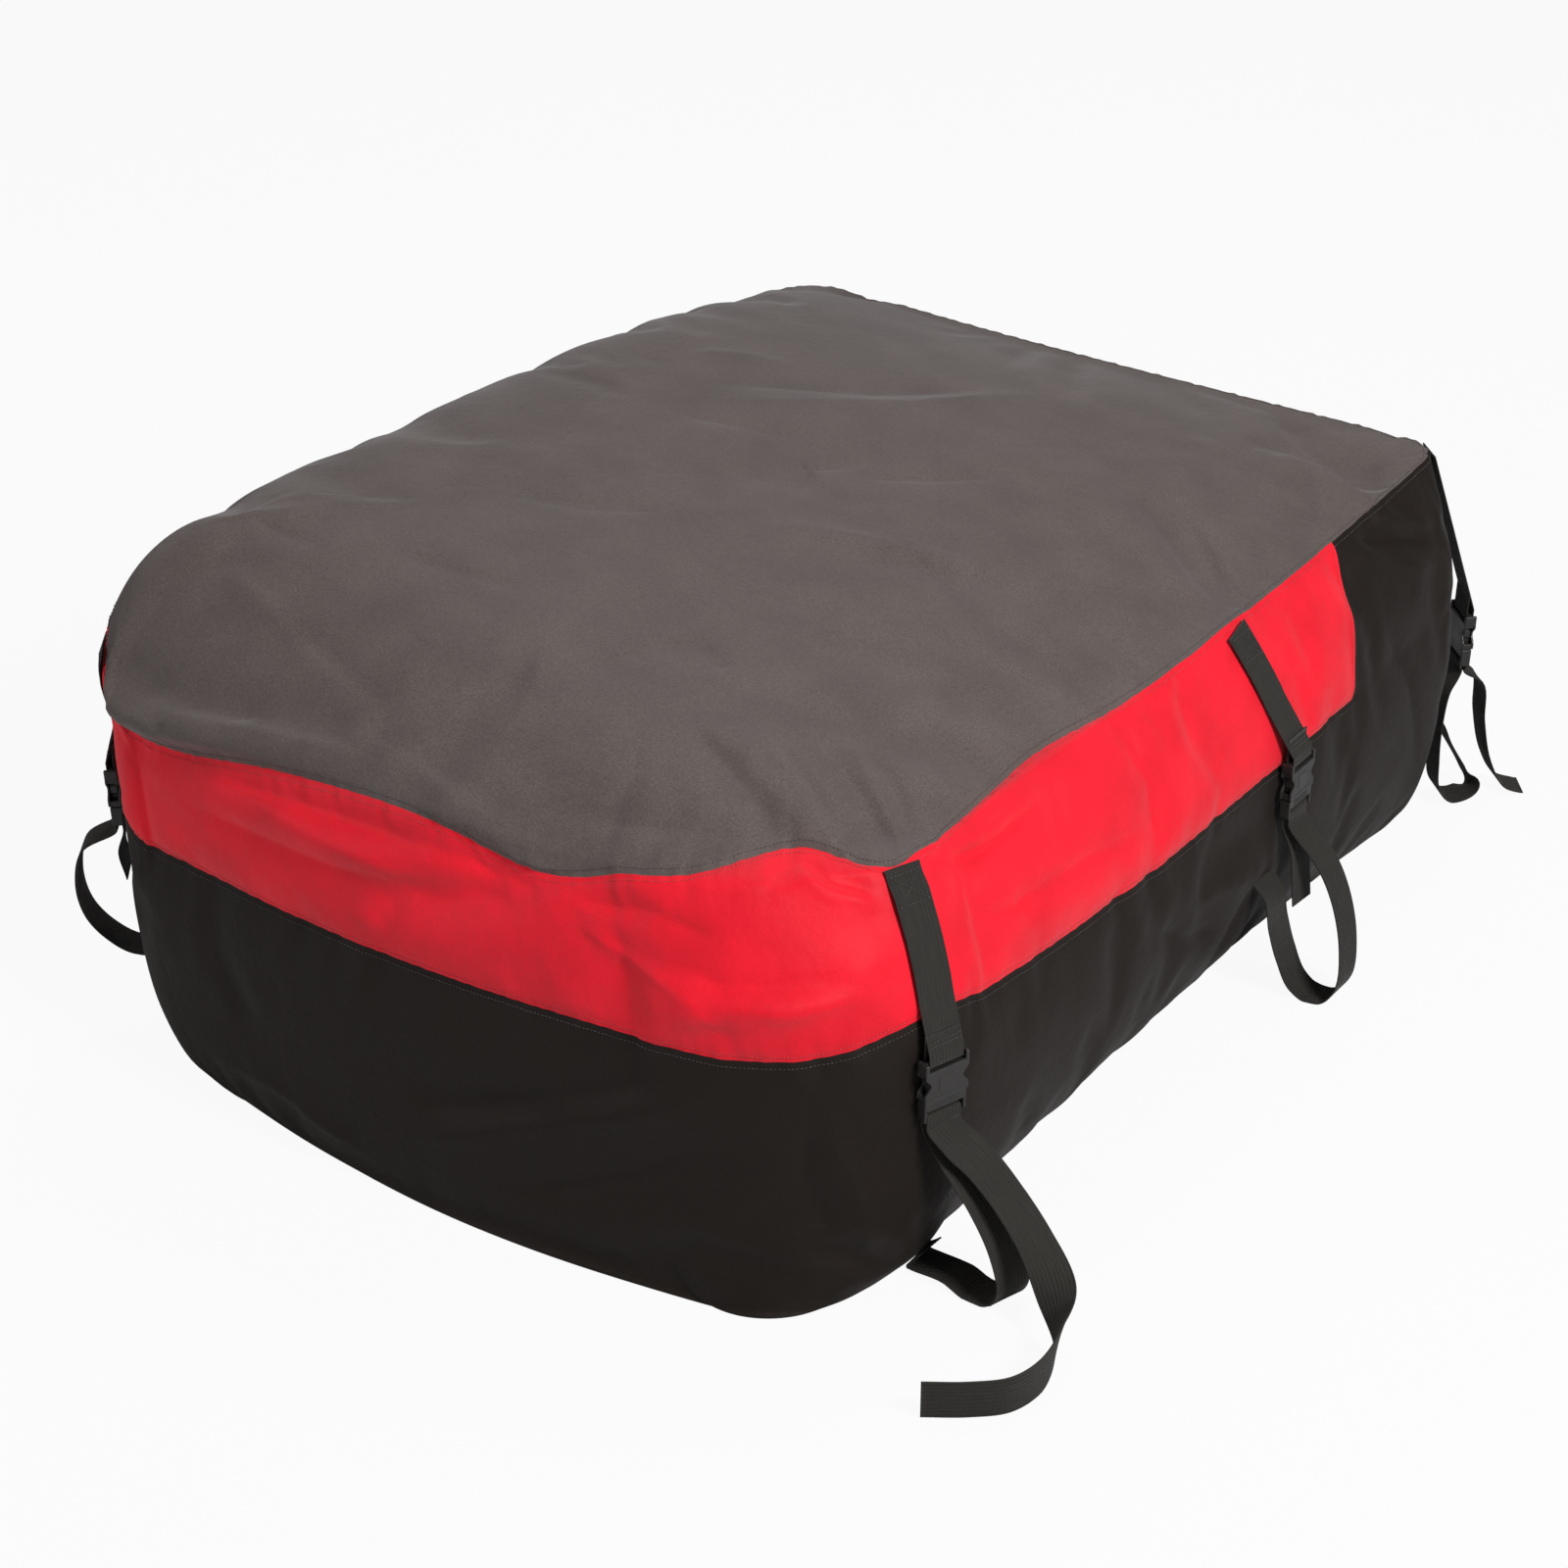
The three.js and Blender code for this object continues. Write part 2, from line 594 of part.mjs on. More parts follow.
// The socket half, with a web slot, a cavity for the prongs and a waist that shows them.
function buckleSocket() {
  let body = solid(roundedPlate(SOCKET_WIDTH, 0, SOCKET_LENGTH, 0, SOCKET_THICKNESS, 3));
  const cuts = [
    block([-SLOT_WIDTH / 2, BAR_LENGTH, -1], [SLOT_WIDTH / 2, SLOT_END, SOCKET_THICKNESS + 1]),
    block([-SLOT_WIDTH / 2, -1, -1], [SLOT_WIDTH / 2, SLOT_END, BAR_LOW]),
    block([-SLOT_WIDTH / 2, -1, BAR_HIGH], [SLOT_WIDTH / 2, SLOT_END, SOCKET_THICKNESS + 1]),
    block([-CAVITY_HALF_WIDTH, CAVITY_START, SOCKET_WALL],
      [CAVITY_HALF_WIDTH, SOCKET_LENGTH + 1, SOCKET_THICKNESS - SOCKET_WALL]),
  ];
  for (const side of [-1, 1]) {
    const waist = new THREE.CylinderGeometry(WAIST_RADIUS, WAIST_RADIUS, SOCKET_THICKNESS + 2, 16);
    waist.rotateX(Math.PI / 2);
    waist.translate(side * (SOCKET_WIDTH / 2 + WAIST_RADIUS - 6), CAVITY_START + 9, SOCKET_THICKNESS / 2);
    cuts.push(waist);
  }
  for (const cut of cuts) {
    body = body.subtract(solid(cut));
  }
  return geometryOf(body);
}

// The plug half: a head with its web slot and end bar, two prongs and a guide.
function bucklePlug() {
  const low = PLUG_INSET;
  const high = SOCKET_THICKNESS - PLUG_INSET;
  const x = SLOT_WIDTH / 2;
  let body = solid(roundedPlate(SOCKET_WIDTH - 2 * PLUG_INSET, HEAD_START, PLUG_END, low, high, 2.5));
  const cuts = [
    block([-x, PLUG_SLOT_START, -1], [x, END_BAR_START, high + 1]),
    block([-x, PLUG_SLOT_START, -1], [x, PLUG_END + 1, BAR_LOW]),
    block([-x, PLUG_SLOT_START, BAR_HIGH], [x, PLUG_END + 1, high + 1]),
  ];
  for (const cut of cuts) {
    body = body.subtract(solid(cut));
  }
  const prongLow = SOCKET_WALL + RUNNING_GAP;
  const prongHigh = SOCKET_THICKNESS - SOCKET_WALL - RUNNING_GAP;
  const root = HEAD_START + 1;
  for (const side of [-1, 1]) {
    const outer = side * (CAVITY_HALF_WIDTH - RUNNING_GAP);
    const inner = outer - side * PRONG_WIDTH;
    const [from, to] = [outer, inner].sort((a, b) => a - b);
    body = body.add(solid(block([from, PRONG_TIP, prongLow], [to, root, prongHigh])));
  }
  const y = GUIDE_WIDTH / 2;
  const guide = block([-y, PRONG_TIP + GUIDE_SETBACK, prongLow], [y, root, prongHigh]);
  return geometryOf(body.add(solid(guide)));
}
const socketGeometry = buckleSocket();
const plugGeometry = bucklePlug();

// Places a buckle on its station: against the wall, or hanging off it by the station's slack.
function buckleFrame(station) {
  const frame = stationFrame(station);
  const top = station.height;
  const bottom = top - PLUG_END;
  const width = SOCKET_WIDTH;
  const reach = (height) => stripReach(frame, station.lean, height, width);
  const slope = (reach(bottom) - reach(top)) / PLUG_END;
  const tilt = Math.atan(THREE.MathUtils.clamp(slope, -0.25, 0.25));
  let start = -Infinity;
  for (let k = 0; k <= 8; k += 1) {
    const drop = (PLUG_END * k) / 8;
    start = Math.max(start, reach(top - drop) - Math.tan(tilt) * drop);
  }
  start += BUCKLE_CLEARANCE + station.slack;
  const origin = atStation(frame, start, station.lean, top);
  const down = frame.out.clone().multiplyScalar(Math.sin(tilt));
  down.z = -Math.cos(tilt);
  const side = frame.along.clone();
  const face = side.clone().cross(down).normalize();
  if (face.dot(frame.out) < 0) {
    side.negate();
    face.negate();
  }
  const matrix = new THREE.Matrix4().makeBasis(side, down, face).setPosition(origin);
  return { frame, matrix, side, lean: station.lean, seat: station.seat, hang: start };
}

// How far the middle of a web lies from the bar it wraps, and that distance along each axis at a corner.
const WRAP_RADIUS = WEB_GAP + WEB_THICKNESS / 2;
const CORNER_OFFSET = WRAP_RADIUS * Math.SQRT1_2;

// The web's path round a bar, in the buckle's own frame: it comes in on the face side from a signed
// distance, goes round the bar's edge at the given length, and leaves on the back.
function barWrap(edge, away) {
  const sign = Math.sign(away);
  return [
    [edge + away, BAR_HIGH + WRAP_RADIUS],
    [edge, BAR_HIGH + WRAP_RADIUS],
    [edge - sign * CORNER_OFFSET, BAR_HIGH + CORNER_OFFSET],
    [edge - sign * WRAP_RADIUS, BAR_HIGH],
    [edge - sign * WRAP_RADIUS, BAR_LOW],
    [edge - sign * CORNER_OFFSET, BAR_LOW - CORNER_OFFSET],
    [edge, BAR_LOW - WRAP_RADIUS],
    [edge + away, BAR_LOW - WRAP_RADIUS],
  ].map(([y, z]) => new THREE.Vector3(0, y, z));
}

// The upper web: sewn into the seam, down over the band, round the socket's bar and back on itself.
function topWeb(buckle) {
  const { frame, matrix, side, lean, seat } = buckle;
  const barTop = new THREE.Vector3(0, -6, BAR_HIGH + WRAP_RADIUS).applyMatrix4(matrix);
  const start = frame.height - 4;
  const points = [];
  const steps = 12;
  const lift = WEB_GAP + WEB_THICKNESS / 2;
  for (let k = 0; k < steps; k += 1) {
    const f = k / steps;
    const height = THREE.MathUtils.lerp(start, barTop.z + STRAIGHT_RUN, f / ((steps - 1) / steps));
    const sideways = (lean * (start - height)) / (start - barTop.z);
    const seated = k < 2 ? lift - seat : lift;
    points.push(atStation(frame, stripReach(frame, sideways, height) + seated, sideways, height));
  }
  // The stretch to the buckle is straight, and so is the whole web where it hangs off the wall.
  const off = barTop.clone().sub(points[points.length - 1]).dot(frame.out);
  if (off > HANGING_OFF) {
    const first = points[0].clone();
    points.forEach((point, k) => {
      const f = (first.z - point.z) / (first.z - barTop.z);
      const straight = first.clone().lerp(barTop, f);
      if (straight.clone().sub(point).dot(frame.out) > 0) {
        points[k] = straight;
      }
    });
  }
  const middle = points[points.length - 1].clone().lerp(barTop, 0.5);
  points.push(middle);
  const wrap = barWrap(BAR_LENGTH, -BAR_LENGTH).map((p) => p.applyMatrix4(matrix));
  const back = [-6, -WEB_FOLD_BACK / 2, -WEB_FOLD_BACK].map((y) => (
    new THREE.Vector3(0, y, BAR_LOW - WRAP_RADIUS).applyMatrix4(matrix)));
  const all = [...points, barTop, ...wrap, ...back];
  return ribbon(all, all.map(() => side));
}

// A smooth path through points, with the direction across the web at each, kept clear of the floor.
function smoothWeb(stops, perStop) {
  const curve = new THREE.CatmullRomCurve3(stops.map((stop) => stop.point), false, 'centripetal');
  const count = (stops.length - 1) * perStop;
  const points = [];
  const across = [];
  for (let i = 0; i <= count; i += 1) {
    const at = i / perStop;
    const k = Math.min(Math.floor(at), stops.length - 2);
    const point = curve.getPoint(i / count);
    const side = stops[k].across.clone().lerp(stops[k + 1].across, at - k);
    const tangent = curve.getTangent(i / count);
    side.addScaledVector(tangent, -side.dot(tangent)).normalize();
    const face = side.clone().cross(tangent);
    const halfHeight = (Math.abs(side.z) * WEB_WIDTH + Math.abs(face.z) * WEB_THICKNESS) / 2;
    point.z = Math.max(point.z, halfHeight + FLOOR_GAP);
    points.push(point);
    across.push(side);
  }
  return { points, across };
}

// The stops of a free web. Each row of its route is a distance out of the buckle's back, one sideways
// of the seam point, a height over the base and the web's turn: 0 is flat, 90 is on its edge.
function tieStops(buckle, rows, mirror) {
  const { frame, hang } = buckle;
  return rows.map(([out, along, height, turn = 0]) => {
    const angle = THREE.MathUtils.degToRad(turn);
    const across = frame.along.clone().multiplyScalar(Math.cos(angle));
    across.z = Math.sin(angle);
    return { point: atStation(frame, hang + out, mirror * along, height), across };
  });
}

// Routes of the free webs, in the order in which the web runs. FLOOR is the height of a web's middle
// where it lies flat, and ON_EDGE where it stands on its edge.
const FLOOR = WEB_THICKNESS / 2 + FLOOR_GAP;
const ON_EDGE = WEB_WIDTH / 2 + FLOOR_GAP;
const FLOOR_SLACK = [
  [16, 8, 8], [40, 14, FLOOR], [62, 21, FLOOR + 1], [73, 24, 20], [64, 22, 58], [42, 14, 100], [18, 2, 138],
];
const LONG_TAIL = [
  [20, 0, 158], [34, 14, 138], [58, 27, 108], [90, 35, 72, 10], [122, 30, 46, 38], [154, 8, 28, 72],
  [180, -34, ON_EDGE, 90], [184, -72, ON_EDGE, 90], [168, -104, ON_EDGE, 90], [143, -137, ON_EDGE, 90],
];
const HANGING_LOOP = [
  [10, -8, 128], [12, 4, 88], [16, 18, 48], [26, 28, 14], [42, 32, FLOOR], [60, 34, 4], [73, 38, 24],
  [72, 42, 66], [60, 44, 112], [42, 42, 150],
];
const HANGING_TAIL = [[14, 34, 164], [18, 34, 132], [22, 32, 104]];
const CROSSED_LOOP = [
  [-14, 12, 88], [2, 0, 56], [17, -14, 28], [22, -26, 11], [11, -33, 5], [-9, -37, 5], [-25, -40, 26],
  [-28, -38, 60], [-26, -31, 96], [-16, -14, 126],
];
const SPREAD_TAIL = [[28, -6, 134], [32, -10, 90], [42, -15, 42], [60, -20, 10], [84, -24, FLOOR]];
const CORNER_LOOP = [
  [-8, 0, 84], [-8, -16, 44], [0, -30, 12], [16, -36, FLOOR], [38, -36, 6], [53, -32, 32], [54, -24, 72],
  [44, -12, 112],
];
const CORNER_TAIL = [[24, 2, 128], [28, -4, 94], [32, -10, 58]];
const SIDE_LOOP = [[1, -12, 88], [26, -6, 108], [45, -5, 135], [51, -5, 172], [42, -9, 206]];
const SIDE_TAIL = [[8, -16, 200], [4, -20, 170]];

// What each station's free web does: where it is sewn on, sideways and up, its loop up to the plug,
// its tail after the plug, and whether it comes to the plug's bar from behind.
const TIES = {
  front_right: { anchor: [4, 26], loop: FLOOR_SLACK, tail: LONG_TAIL, fromBehind: true, mirror: 1 },
  middle_right: { anchor: [-14, 166], loop: HANGING_LOOP, tail: HANGING_TAIL, fromBehind: false, mirror: 1 },
  rear_right: { anchor: [16, 128], loop: CROSSED_LOOP, tail: SPREAD_TAIL, fromBehind: true, mirror: 1 },
  rear_left: { anchor: [-4, 128], loop: CORNER_LOOP, tail: CORNER_TAIL, fromBehind: false, mirror: -1 },
  middle_left: { anchor: [14, 166], loop: HANGING_LOOP, tail: HANGING_TAIL, fromBehind: false, mirror: -1 },
  front_left: { anchor: [-14, 104], loop: SIDE_LOOP, tail: SIDE_TAIL, fromBehind: false, mirror: 1 },
};

// The free web: from where it is sewn to the wall, through its loop, round the plug's end bar, to
// the end of its tail.
function tieWeb(buckle, tie) {
  const { frame, matrix } = buckle;
  const [anchorAlong, anchorHeight] = tie.anchor;
  const lift = WEB_GAP + WEB_THICKNESS / 2;
  const sewn = [0, SEWN_LENGTH].map((drop) => {
    const height = anchorHeight - drop;
    const reach = stripReach(frame, anchorAlong, height) + lift;
    return { point: atStation(frame, reach, anchorAlong, height), across: frame.along };
  });
  const leave = [PLUG_END + 9, BAR_HIGH + WRAP_RADIUS + 0.6];
  const arrive = [PLUG_END + 9, BAR_LOW - WRAP_RADIUS];
  const [before, after] = tie.fromBehind ? [arrive, leave] : [leave, arrive];
  const placed = (p) => ({ point: p.applyMatrix4(matrix), across: frame.along });
  const stop = ([y, z]) => placed(new THREE.Vector3(0, y, z));
  const wrap = barWrap(END_BAR_START, BAR_LENGTH).map(placed);
  if (tie.fromBehind) {
    wrap.reverse();
  }
  const up = smoothWeb([...sewn, ...tieStops(buckle, tie.loop, tie.mirror), stop(before), wrap[0]], 3);
  const down = smoothWeb([wrap[wrap.length - 1], stop(after), ...tieStops(buckle, tie.tail, tie.mirror)], 3);
  const points = [...up.points, ...wrap.slice(1, -1).map((w) => w.point), ...down.points];
  const across = [...up.across, ...wrap.slice(1, -1).map((w) => w.across), ...down.across];
  return ribbon(points, across);
}

for (const [name, station] of Object.entries(STATIONS)) {
  const buckle = buckleFrame(station);
  addPart(`top_web_${name}`, topWeb(buckle), WEBBING);
  addPart(`buckle_socket_${name}`, socketGeometry, BUCKLE_PLASTIC, buckle.matrix);
  addPart(`buckle_plug_${name}`, plugGeometry, BUCKLE_PLASTIC, buckle.matrix);
  addPart(`tie_web_${name}`, tieWeb(buckle, TIES[name]), WEBBING);
}

// The rear wall's frame: its middle, outwards and sideways towards the left.
const rear = stationFrame({ place: 4.5 });

// How far out a level strip across the rear has to lie to clear the wall between two heights.
function rearSeat(low, high) {
  let seat = -Infinity;
  for (let k = 0; k <= 8; k += 1) {
    const height = THREE.MathUtils.lerp(low, high, k / 8);
    for (const f of [-0.9, -0.5, 0, 0.5, 0.9]) {
      seat = Math.max(seat, reachAt(rear, f * ZIP_HALF_LENGTH, height));
    }
  }
  return seat + WEB_GAP;
}
const ZIP_SEAT = rearSeat(ZIP_HEIGHT - ZIP_TAPE_WIDTH / 2, ZIP_HEIGHT + ZIP_TAPE_WIDTH / 2);

// A straight strip along the rear wall: its section is across, upwards and outwards.
function rearStrip(halfLength, out, height, section) {
  const ends = [1, -1].map((s) => atStation(rear, out, s * halfLength, height));
  return sweep(ends, ends.map(() => new THREE.Vector3(0, 0, 1)), section);
}

// The zip's tapes with its closed coil along their middle.
function rearZip() {
  const w = ZIP_TAPE_WIDTH / 2;
  const c = COIL_WIDTH / 2;
  const t = ZIP_TAPE_THICKNESS;
  const top = t + COIL_HEIGHT;
  const section = [[-w, 0], [w, 0], [w, t], [c, t], [c - 1, top], [1 - c, top], [-c, t], [-w, t]];
  return rearStrip(ZIP_HALF_LENGTH, ZIP_SEAT, ZIP_HEIGHT, section);
}
addPart('rear_zip', rearZip(), BLACK_CLOTH);

// The rain flap, sewn on above the zip and lying over its upper tape.
const FLAP_LOW = ZIP_HEIGHT + SLIDER_WIDTH / 2 + 2;
const FLAP_MIDDLE = FLAP_LOW + FLAP_DEPTH / 2;
const OVER_ZIP = ZIP_SEAT + ZIP_TAPE_THICKNESS + WEB_GAP;
const FLAP_SEAT = Math.max(OVER_ZIP, rearSeat(FLAP_LOW, FLAP_LOW + FLAP_DEPTH));
const FLAP_SECTION = [
  [-FLAP_DEPTH / 2, 0], [FLAP_DEPTH / 2, 0],
  [FLAP_DEPTH / 2, FLAP_THICKNESS], [-FLAP_DEPTH / 2, FLAP_THICKNESS],
];
const FLAP_HALF_LENGTH = ZIP_HALF_LENGTH + 12;
addPart('rain_flap', rearStrip(FLAP_HALF_LENGTH, FLAP_SEAT, FLAP_MIDDLE, FLAP_SECTION), BLACK_CLOTH);

// The sliders and their pulls, in a frame of length along the zip, height and outwards from the tape.
const PLATE_LOW = COIL_HEIGHT + SLIDER_GAP;
const PLATE_HIGH = PLATE_LOW + SLIDER_PLATE;
const PIN_HEIGHT = PLATE_HIGH + SLIDER_GAP + PULL_THICKNESS / 2;
const EAR_INNER = PULL_NECK_WIDTH / 2 + SLIDER_GAP;

function zipSlider() {
  const x = SLIDER_LENGTH / 2;
  const y = SLIDER_WIDTH / 2;
  const rail = COIL_WIDTH / 2 + SLIDER_GAP;
  let body = solid(roundedPlate(SLIDER_WIDTH, -x, x, PLATE_LOW, PLATE_HIGH, 3).rotateZ(Math.PI / 2));
  for (const side of [-1, 1]) {
    const rails = [side * rail, side * y].sort((a, b) => a - b);
    body = body.add(solid(block([3 - x, rails[0], SLIDER_GAP], [x - 3, rails[1], PLATE_LOW + 0.2])));
    const ears = [side * EAR_INNER, side * (EAR_INNER + EAR_WIDTH)].sort((a, b) => a - b);
    body = body.add(solid(block([-EAR_LENGTH / 2, ears[0], PLATE_HIGH - 0.2],
      [EAR_LENGTH / 2, ears[1], PIN_HEIGHT + PIN_RADIUS + 1.4])));
  }
  const hole = new THREE.CylinderGeometry(PIN_RADIUS + PIN_GAP, PIN_RADIUS + PIN_GAP, SLIDER_WIDTH + 4, 16);
  return geometryOf(body.subtract(solid(hole.translate(0, 0, PIN_HEIGHT))));
}

function zipPull() {
  const half = PULL_THICKNESS / 2;
  const pin = new THREE.CylinderGeometry(PIN_RADIUS, PIN_RADIUS, 2 * (EAR_INNER + EAR_WIDTH) - 0.4, 12);
  let body = solid(pin.translate(0, 0, PIN_HEIGHT));
  body = body.add(solid(block([-PIN_RADIUS / 2, -PULL_NECK_WIDTH / 2, PIN_HEIGHT - half],
    [12, PULL_NECK_WIDTH / 2, PIN_HEIGHT + half])));
  const tab = roundedPlate(PULL_WIDTH, -PULL_LENGTH, -10, PIN_HEIGHT - half, PIN_HEIGHT + half, 3);
  return geometryOf(body.add(solid(tab.rotateZ(Math.PI / 2))));
}
const sliderGeometry = zipSlider();
const pullGeometry = zipPull();
for (const [name, side] of [['left', 1], ['right', -1]]) {
  const seat = atStation(rear, ZIP_SEAT + ZIP_TAPE_THICKNESS, (side * SLIDER_SPACING) / 2, ZIP_HEIGHT);
  const outwards = rear.out.clone();
  const ahead = rear.along.clone().multiplyScalar(side);
  const upwards = outwards.clone().cross(ahead);
  const matrix = new THREE.Matrix4().makeBasis(ahead, upwards, outwards).setPosition(seat);
  addPart(`zip_slider_${name}`, sliderGeometry, ZIP_METAL, matrix);
  addPart(`zip_pull_${name}`, pullGeometry, ZIP_METAL, matrix);
}

export default group;
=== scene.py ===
"""A soft roof cargo bag, packed full: its cloth shell, webbing, buckles and rear zip over the CAD frame.

Shapes are worked out in millimetres and placed in metres, in the frame's own axes.
"""
import math

import bpy
import numpy as np
from mathutils import Matrix, Vector


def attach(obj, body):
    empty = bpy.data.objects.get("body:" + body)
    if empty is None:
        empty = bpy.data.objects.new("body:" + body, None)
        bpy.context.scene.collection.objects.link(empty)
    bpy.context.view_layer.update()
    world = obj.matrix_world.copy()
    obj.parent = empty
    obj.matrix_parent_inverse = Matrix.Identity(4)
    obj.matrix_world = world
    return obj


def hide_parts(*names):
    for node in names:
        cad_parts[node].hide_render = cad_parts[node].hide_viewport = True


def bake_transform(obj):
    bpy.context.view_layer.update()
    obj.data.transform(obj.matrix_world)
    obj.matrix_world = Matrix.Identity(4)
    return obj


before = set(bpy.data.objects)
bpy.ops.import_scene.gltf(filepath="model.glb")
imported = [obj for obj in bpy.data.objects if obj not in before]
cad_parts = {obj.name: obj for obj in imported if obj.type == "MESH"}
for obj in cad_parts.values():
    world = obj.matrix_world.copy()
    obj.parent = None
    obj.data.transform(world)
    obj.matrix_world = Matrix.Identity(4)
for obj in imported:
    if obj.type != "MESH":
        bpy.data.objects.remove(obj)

bl_info = {
    "name": "Roof Cargo Bag",
    "version": (1, 0, 0),
    "blender": (4, 5, 0),
    "location": "View3D > Sidebar > Cargo Bag",
    "description": "Builds a packed roof cargo bag with its straps, buckles and zip",
    "category": "Object",
}

MM = 0.001

# ---------------------------------------------------------------- settings


def length(name, description, value):
    """A length setting in metres."""
    return bpy.props.FloatProperty(name=name, description=description, default=value, min=0.0, unit="LENGTH")


def paint(name, description, value):
    """A colour setting from an sRGB hex value."""
    return bpy.props.FloatVectorProperty(
        name=name, description=description, default=linear(value), size=3, min=0.0, max=1.0, subtype="COLOR")


def linear(value):
    """An sRGB hex colour as linear values."""
    channels = [int(value[i:i + 2], 16) / 255 for i in (1, 3, 5)]
    return tuple(c / 12.92 if c <= 0.04045 else ((c + 0.055) / 1.055) ** 2.4 for c in channels)


class CargoBagSizes(bpy.types.PropertyGroup):
    """Sizes of the bag that can be set by themselves."""

    seam_height: length("Seam height", "Height of the top seam over the base", 0.4)
    left_lift: length("Left lift", "How much higher the left side's seam lies", 0.058)
    dome_rise: length("Dome rise", "How far the packed top rises over its seam", 0.118)
    web_width: length("Web width", "Width of the webbing", 0.038)
    web_thickness: length("Web thickness", "Thickness of the webbing", 0.0018)
    rib_depth: length("Rib depth", "Depth of the grooves along the webbing", 0.00055)
    socket_length: length("Socket length", "Length of the buckle's socket half", 0.04)
    socket_width: length("Socket width", "Width of the buckle's socket half", 0.048)
    socket_thickness: length("Socket thickness", "Thickness of the buckle's socket half", 0.013)
    stitch_length: length("Stitch length", "Length of a stitch that shows", 0.0028)
    stitch_pitch: length("Stitch pitch", "Distance from stitch to stitch", 0.0038)
    thread_width: length("Thread width", "Width of the sewing thread", 0.0008)
    tooth_pitch: length("Tooth pitch", "Distance from tooth to tooth of the zip's coil", 0.0024)
    wrinkle_limit: length("Wrinkle limit", "The furthest that the settled cloth may move", 0.008)
    cloth_growth: bpy.props.FloatProperty(
        name="Cloth growth", description="Spare cloth that wrinkles over the load", default=0.02, min=0.0, max=0.2)
    settle_frames: bpy.props.IntProperty(
        name="Settle frames", description="Steps for which the cloth settles", default=20, min=1, max=60)


class CargoBagColours(bpy.types.PropertyGroup):
    """Colours of the bag."""

    # Painted light: the top and the sides are one black cloth, but the top's colour is painted lighter, as light from
    # above, and the sides' colour is painted darker, as painted shade.
    top_cloth: paint("Top cloth", "Coated cloth of the top panel", "#5b514e")
    side_cloth: paint("Side cloth", "Coated cloth of the sides and base", "#1b1410")
    band_cloth: paint("Band cloth", "Coated cloth of the band", "#e8142a")
    webbing: paint("Webbing", "Polypropylene webbing", "#2d2a26")
    buckle: paint("Buckle", "Moulded buckle plastic", "#262423")
    zip_tape: paint("Zip tape", "Woven tape of the zip", "#1d1d1e")
    zip_metal: paint("Zip metal", "Black-coated cast metal of the sliders", "#303032")


def size(name):
    """A size setting in millimetres."""
    return getattr(bpy.context.scene.cargo_bag_sizes, name) / MM


def colour(name):
    """A colour setting as RGBA."""
    return (*getattr(bpy.context.scene.cargo_bag_colours, name), 1.0)


# ---------------------------------------------------------------- the bag's surface

SEAM = {"right": 372, "left": 452, "front": 566, "rear": 626, "bow": (34, 6, 0, 14), "radius": (215, 45, 90, 45)}
BULGE = {"right": 434, "left": 440, "front": 598, "rear": 622, "bow": (24, 6, 0, 8), "radius": (222, 90, 130, 82)}
BASE = {"right": 376, "left": 340, "front": 594, "rear": 570, "bow": (32, -52, 0, 0), "radius": (88, 90, 120, 98)}
LEFT_LIFT_SLOPE = 32
REAR_LIFT = 16
LEFT_REAR_FALL = 0.35
LEFT_DOME_LOSS = 22
BULGE_SHARE = 0.42
LOWER_ROUNDNESS = 2.6
DOME_SIDE_POWER = 2.6
DOME_REAR_POWER = 2.3
DOME_EDGE_POWER = 9
WALL_TILT_SHARE = 0.1
TOP_TILT_SHARE = 0.08
FOOT_SHARE = 0.97
BAND_SHARE = 0.36
BAND_CORNER_RISE = 0.055
BAND_CORNER_PLACE = 1.83
BAND_CORNER_SPREAD = 0.24
BAND_END = 2.77
BAND_START = 9 - BAND_END
BAND_MARGIN = 15
BAND_LIFT = 1.6
SKIN = 1.6

# Soft folds that the solid frame shares: rise, width and the line they follow.
FOLDS = (
    (15, 22, ((-470, -470, 405), (-430, -545, 395), (-365, -588, 386), (-292, -600, 393), (-161, -603, 405),
        (0, -597, 405), (95, -588, 395), (190, -570, 402))),
    (-11, 15, ((-440, -520, 362), (-365, -590, 352), (-292, -604, 362), (-161, -608, 380), (0, -600, 385),
        (95, -592, 368), (200, -575, 384))),
    (-10, 28, ((-300, -470, 500), (-240, -515, 490), (-125, -565, 445), (-90, -585, 420))),
    (-8, 36, ((-60, -440, 500), (10, -395, 490), (60, -250, 485), (70, -180, 490))),
    (9, 24, ((120, -400, 470), (200, -415, 450), (265, -445, 425), (350, -440, 398))),
    (-9, 18, ((190, -320, 460), (240, -350, 440), (345, -405, 405), (360, -420, 398))),
    (-8, 22, ((200, 290, 450), (260, 235, 435), (368, 150, 404))),
    (-9, 26, ((190, 450, 440), (245, 485, 430), (372, 560, 405))),
    (8, 20, ((150, 400, 450), (200, 430, 440), (360, 490, 408))),
    (9, 22, ((-400, -560, 335), (-300, -592, 340), (-125, -605, 352), (90, -600, 335))),
    (-10, 24, ((-120, -610, 325), (-20, -608, 338), (60, -604, 342), (310, -560, 315))),
    (10, 20, ((190, -590, 280), (260, -575, 298), (330, -535, 308), (400, -440, 350))),
    (-9, 20, ((370, -420, 390), (390, -370, 372), (405, -220, 360), (405, -150, 365))),
    (9, 22, ((405, -410, 315), (425, -300, 300), (437, -85, 282), (437, 80, 285))),
    (-10, 34, ((-310, -600, 240), (-275, -605, 200), (-215, -615, 90))),
    (-10, 30, ((-80, -620, 110), (-25, -620, 125), (130, -615, 150), (200, -600, 165))),
)
FOLD_FADE = 0.28

# Where the top panel's sewn edge strays from the shell's edge, by place, spread and share.
SEAM_STRAYS = ((0, 0.3, 0.095), (0.89, 0.13, 0.052), (1.5, 0.2, -0.062), (1.78, 0.08, 0.02), (2.17, 0.12, -0.036))

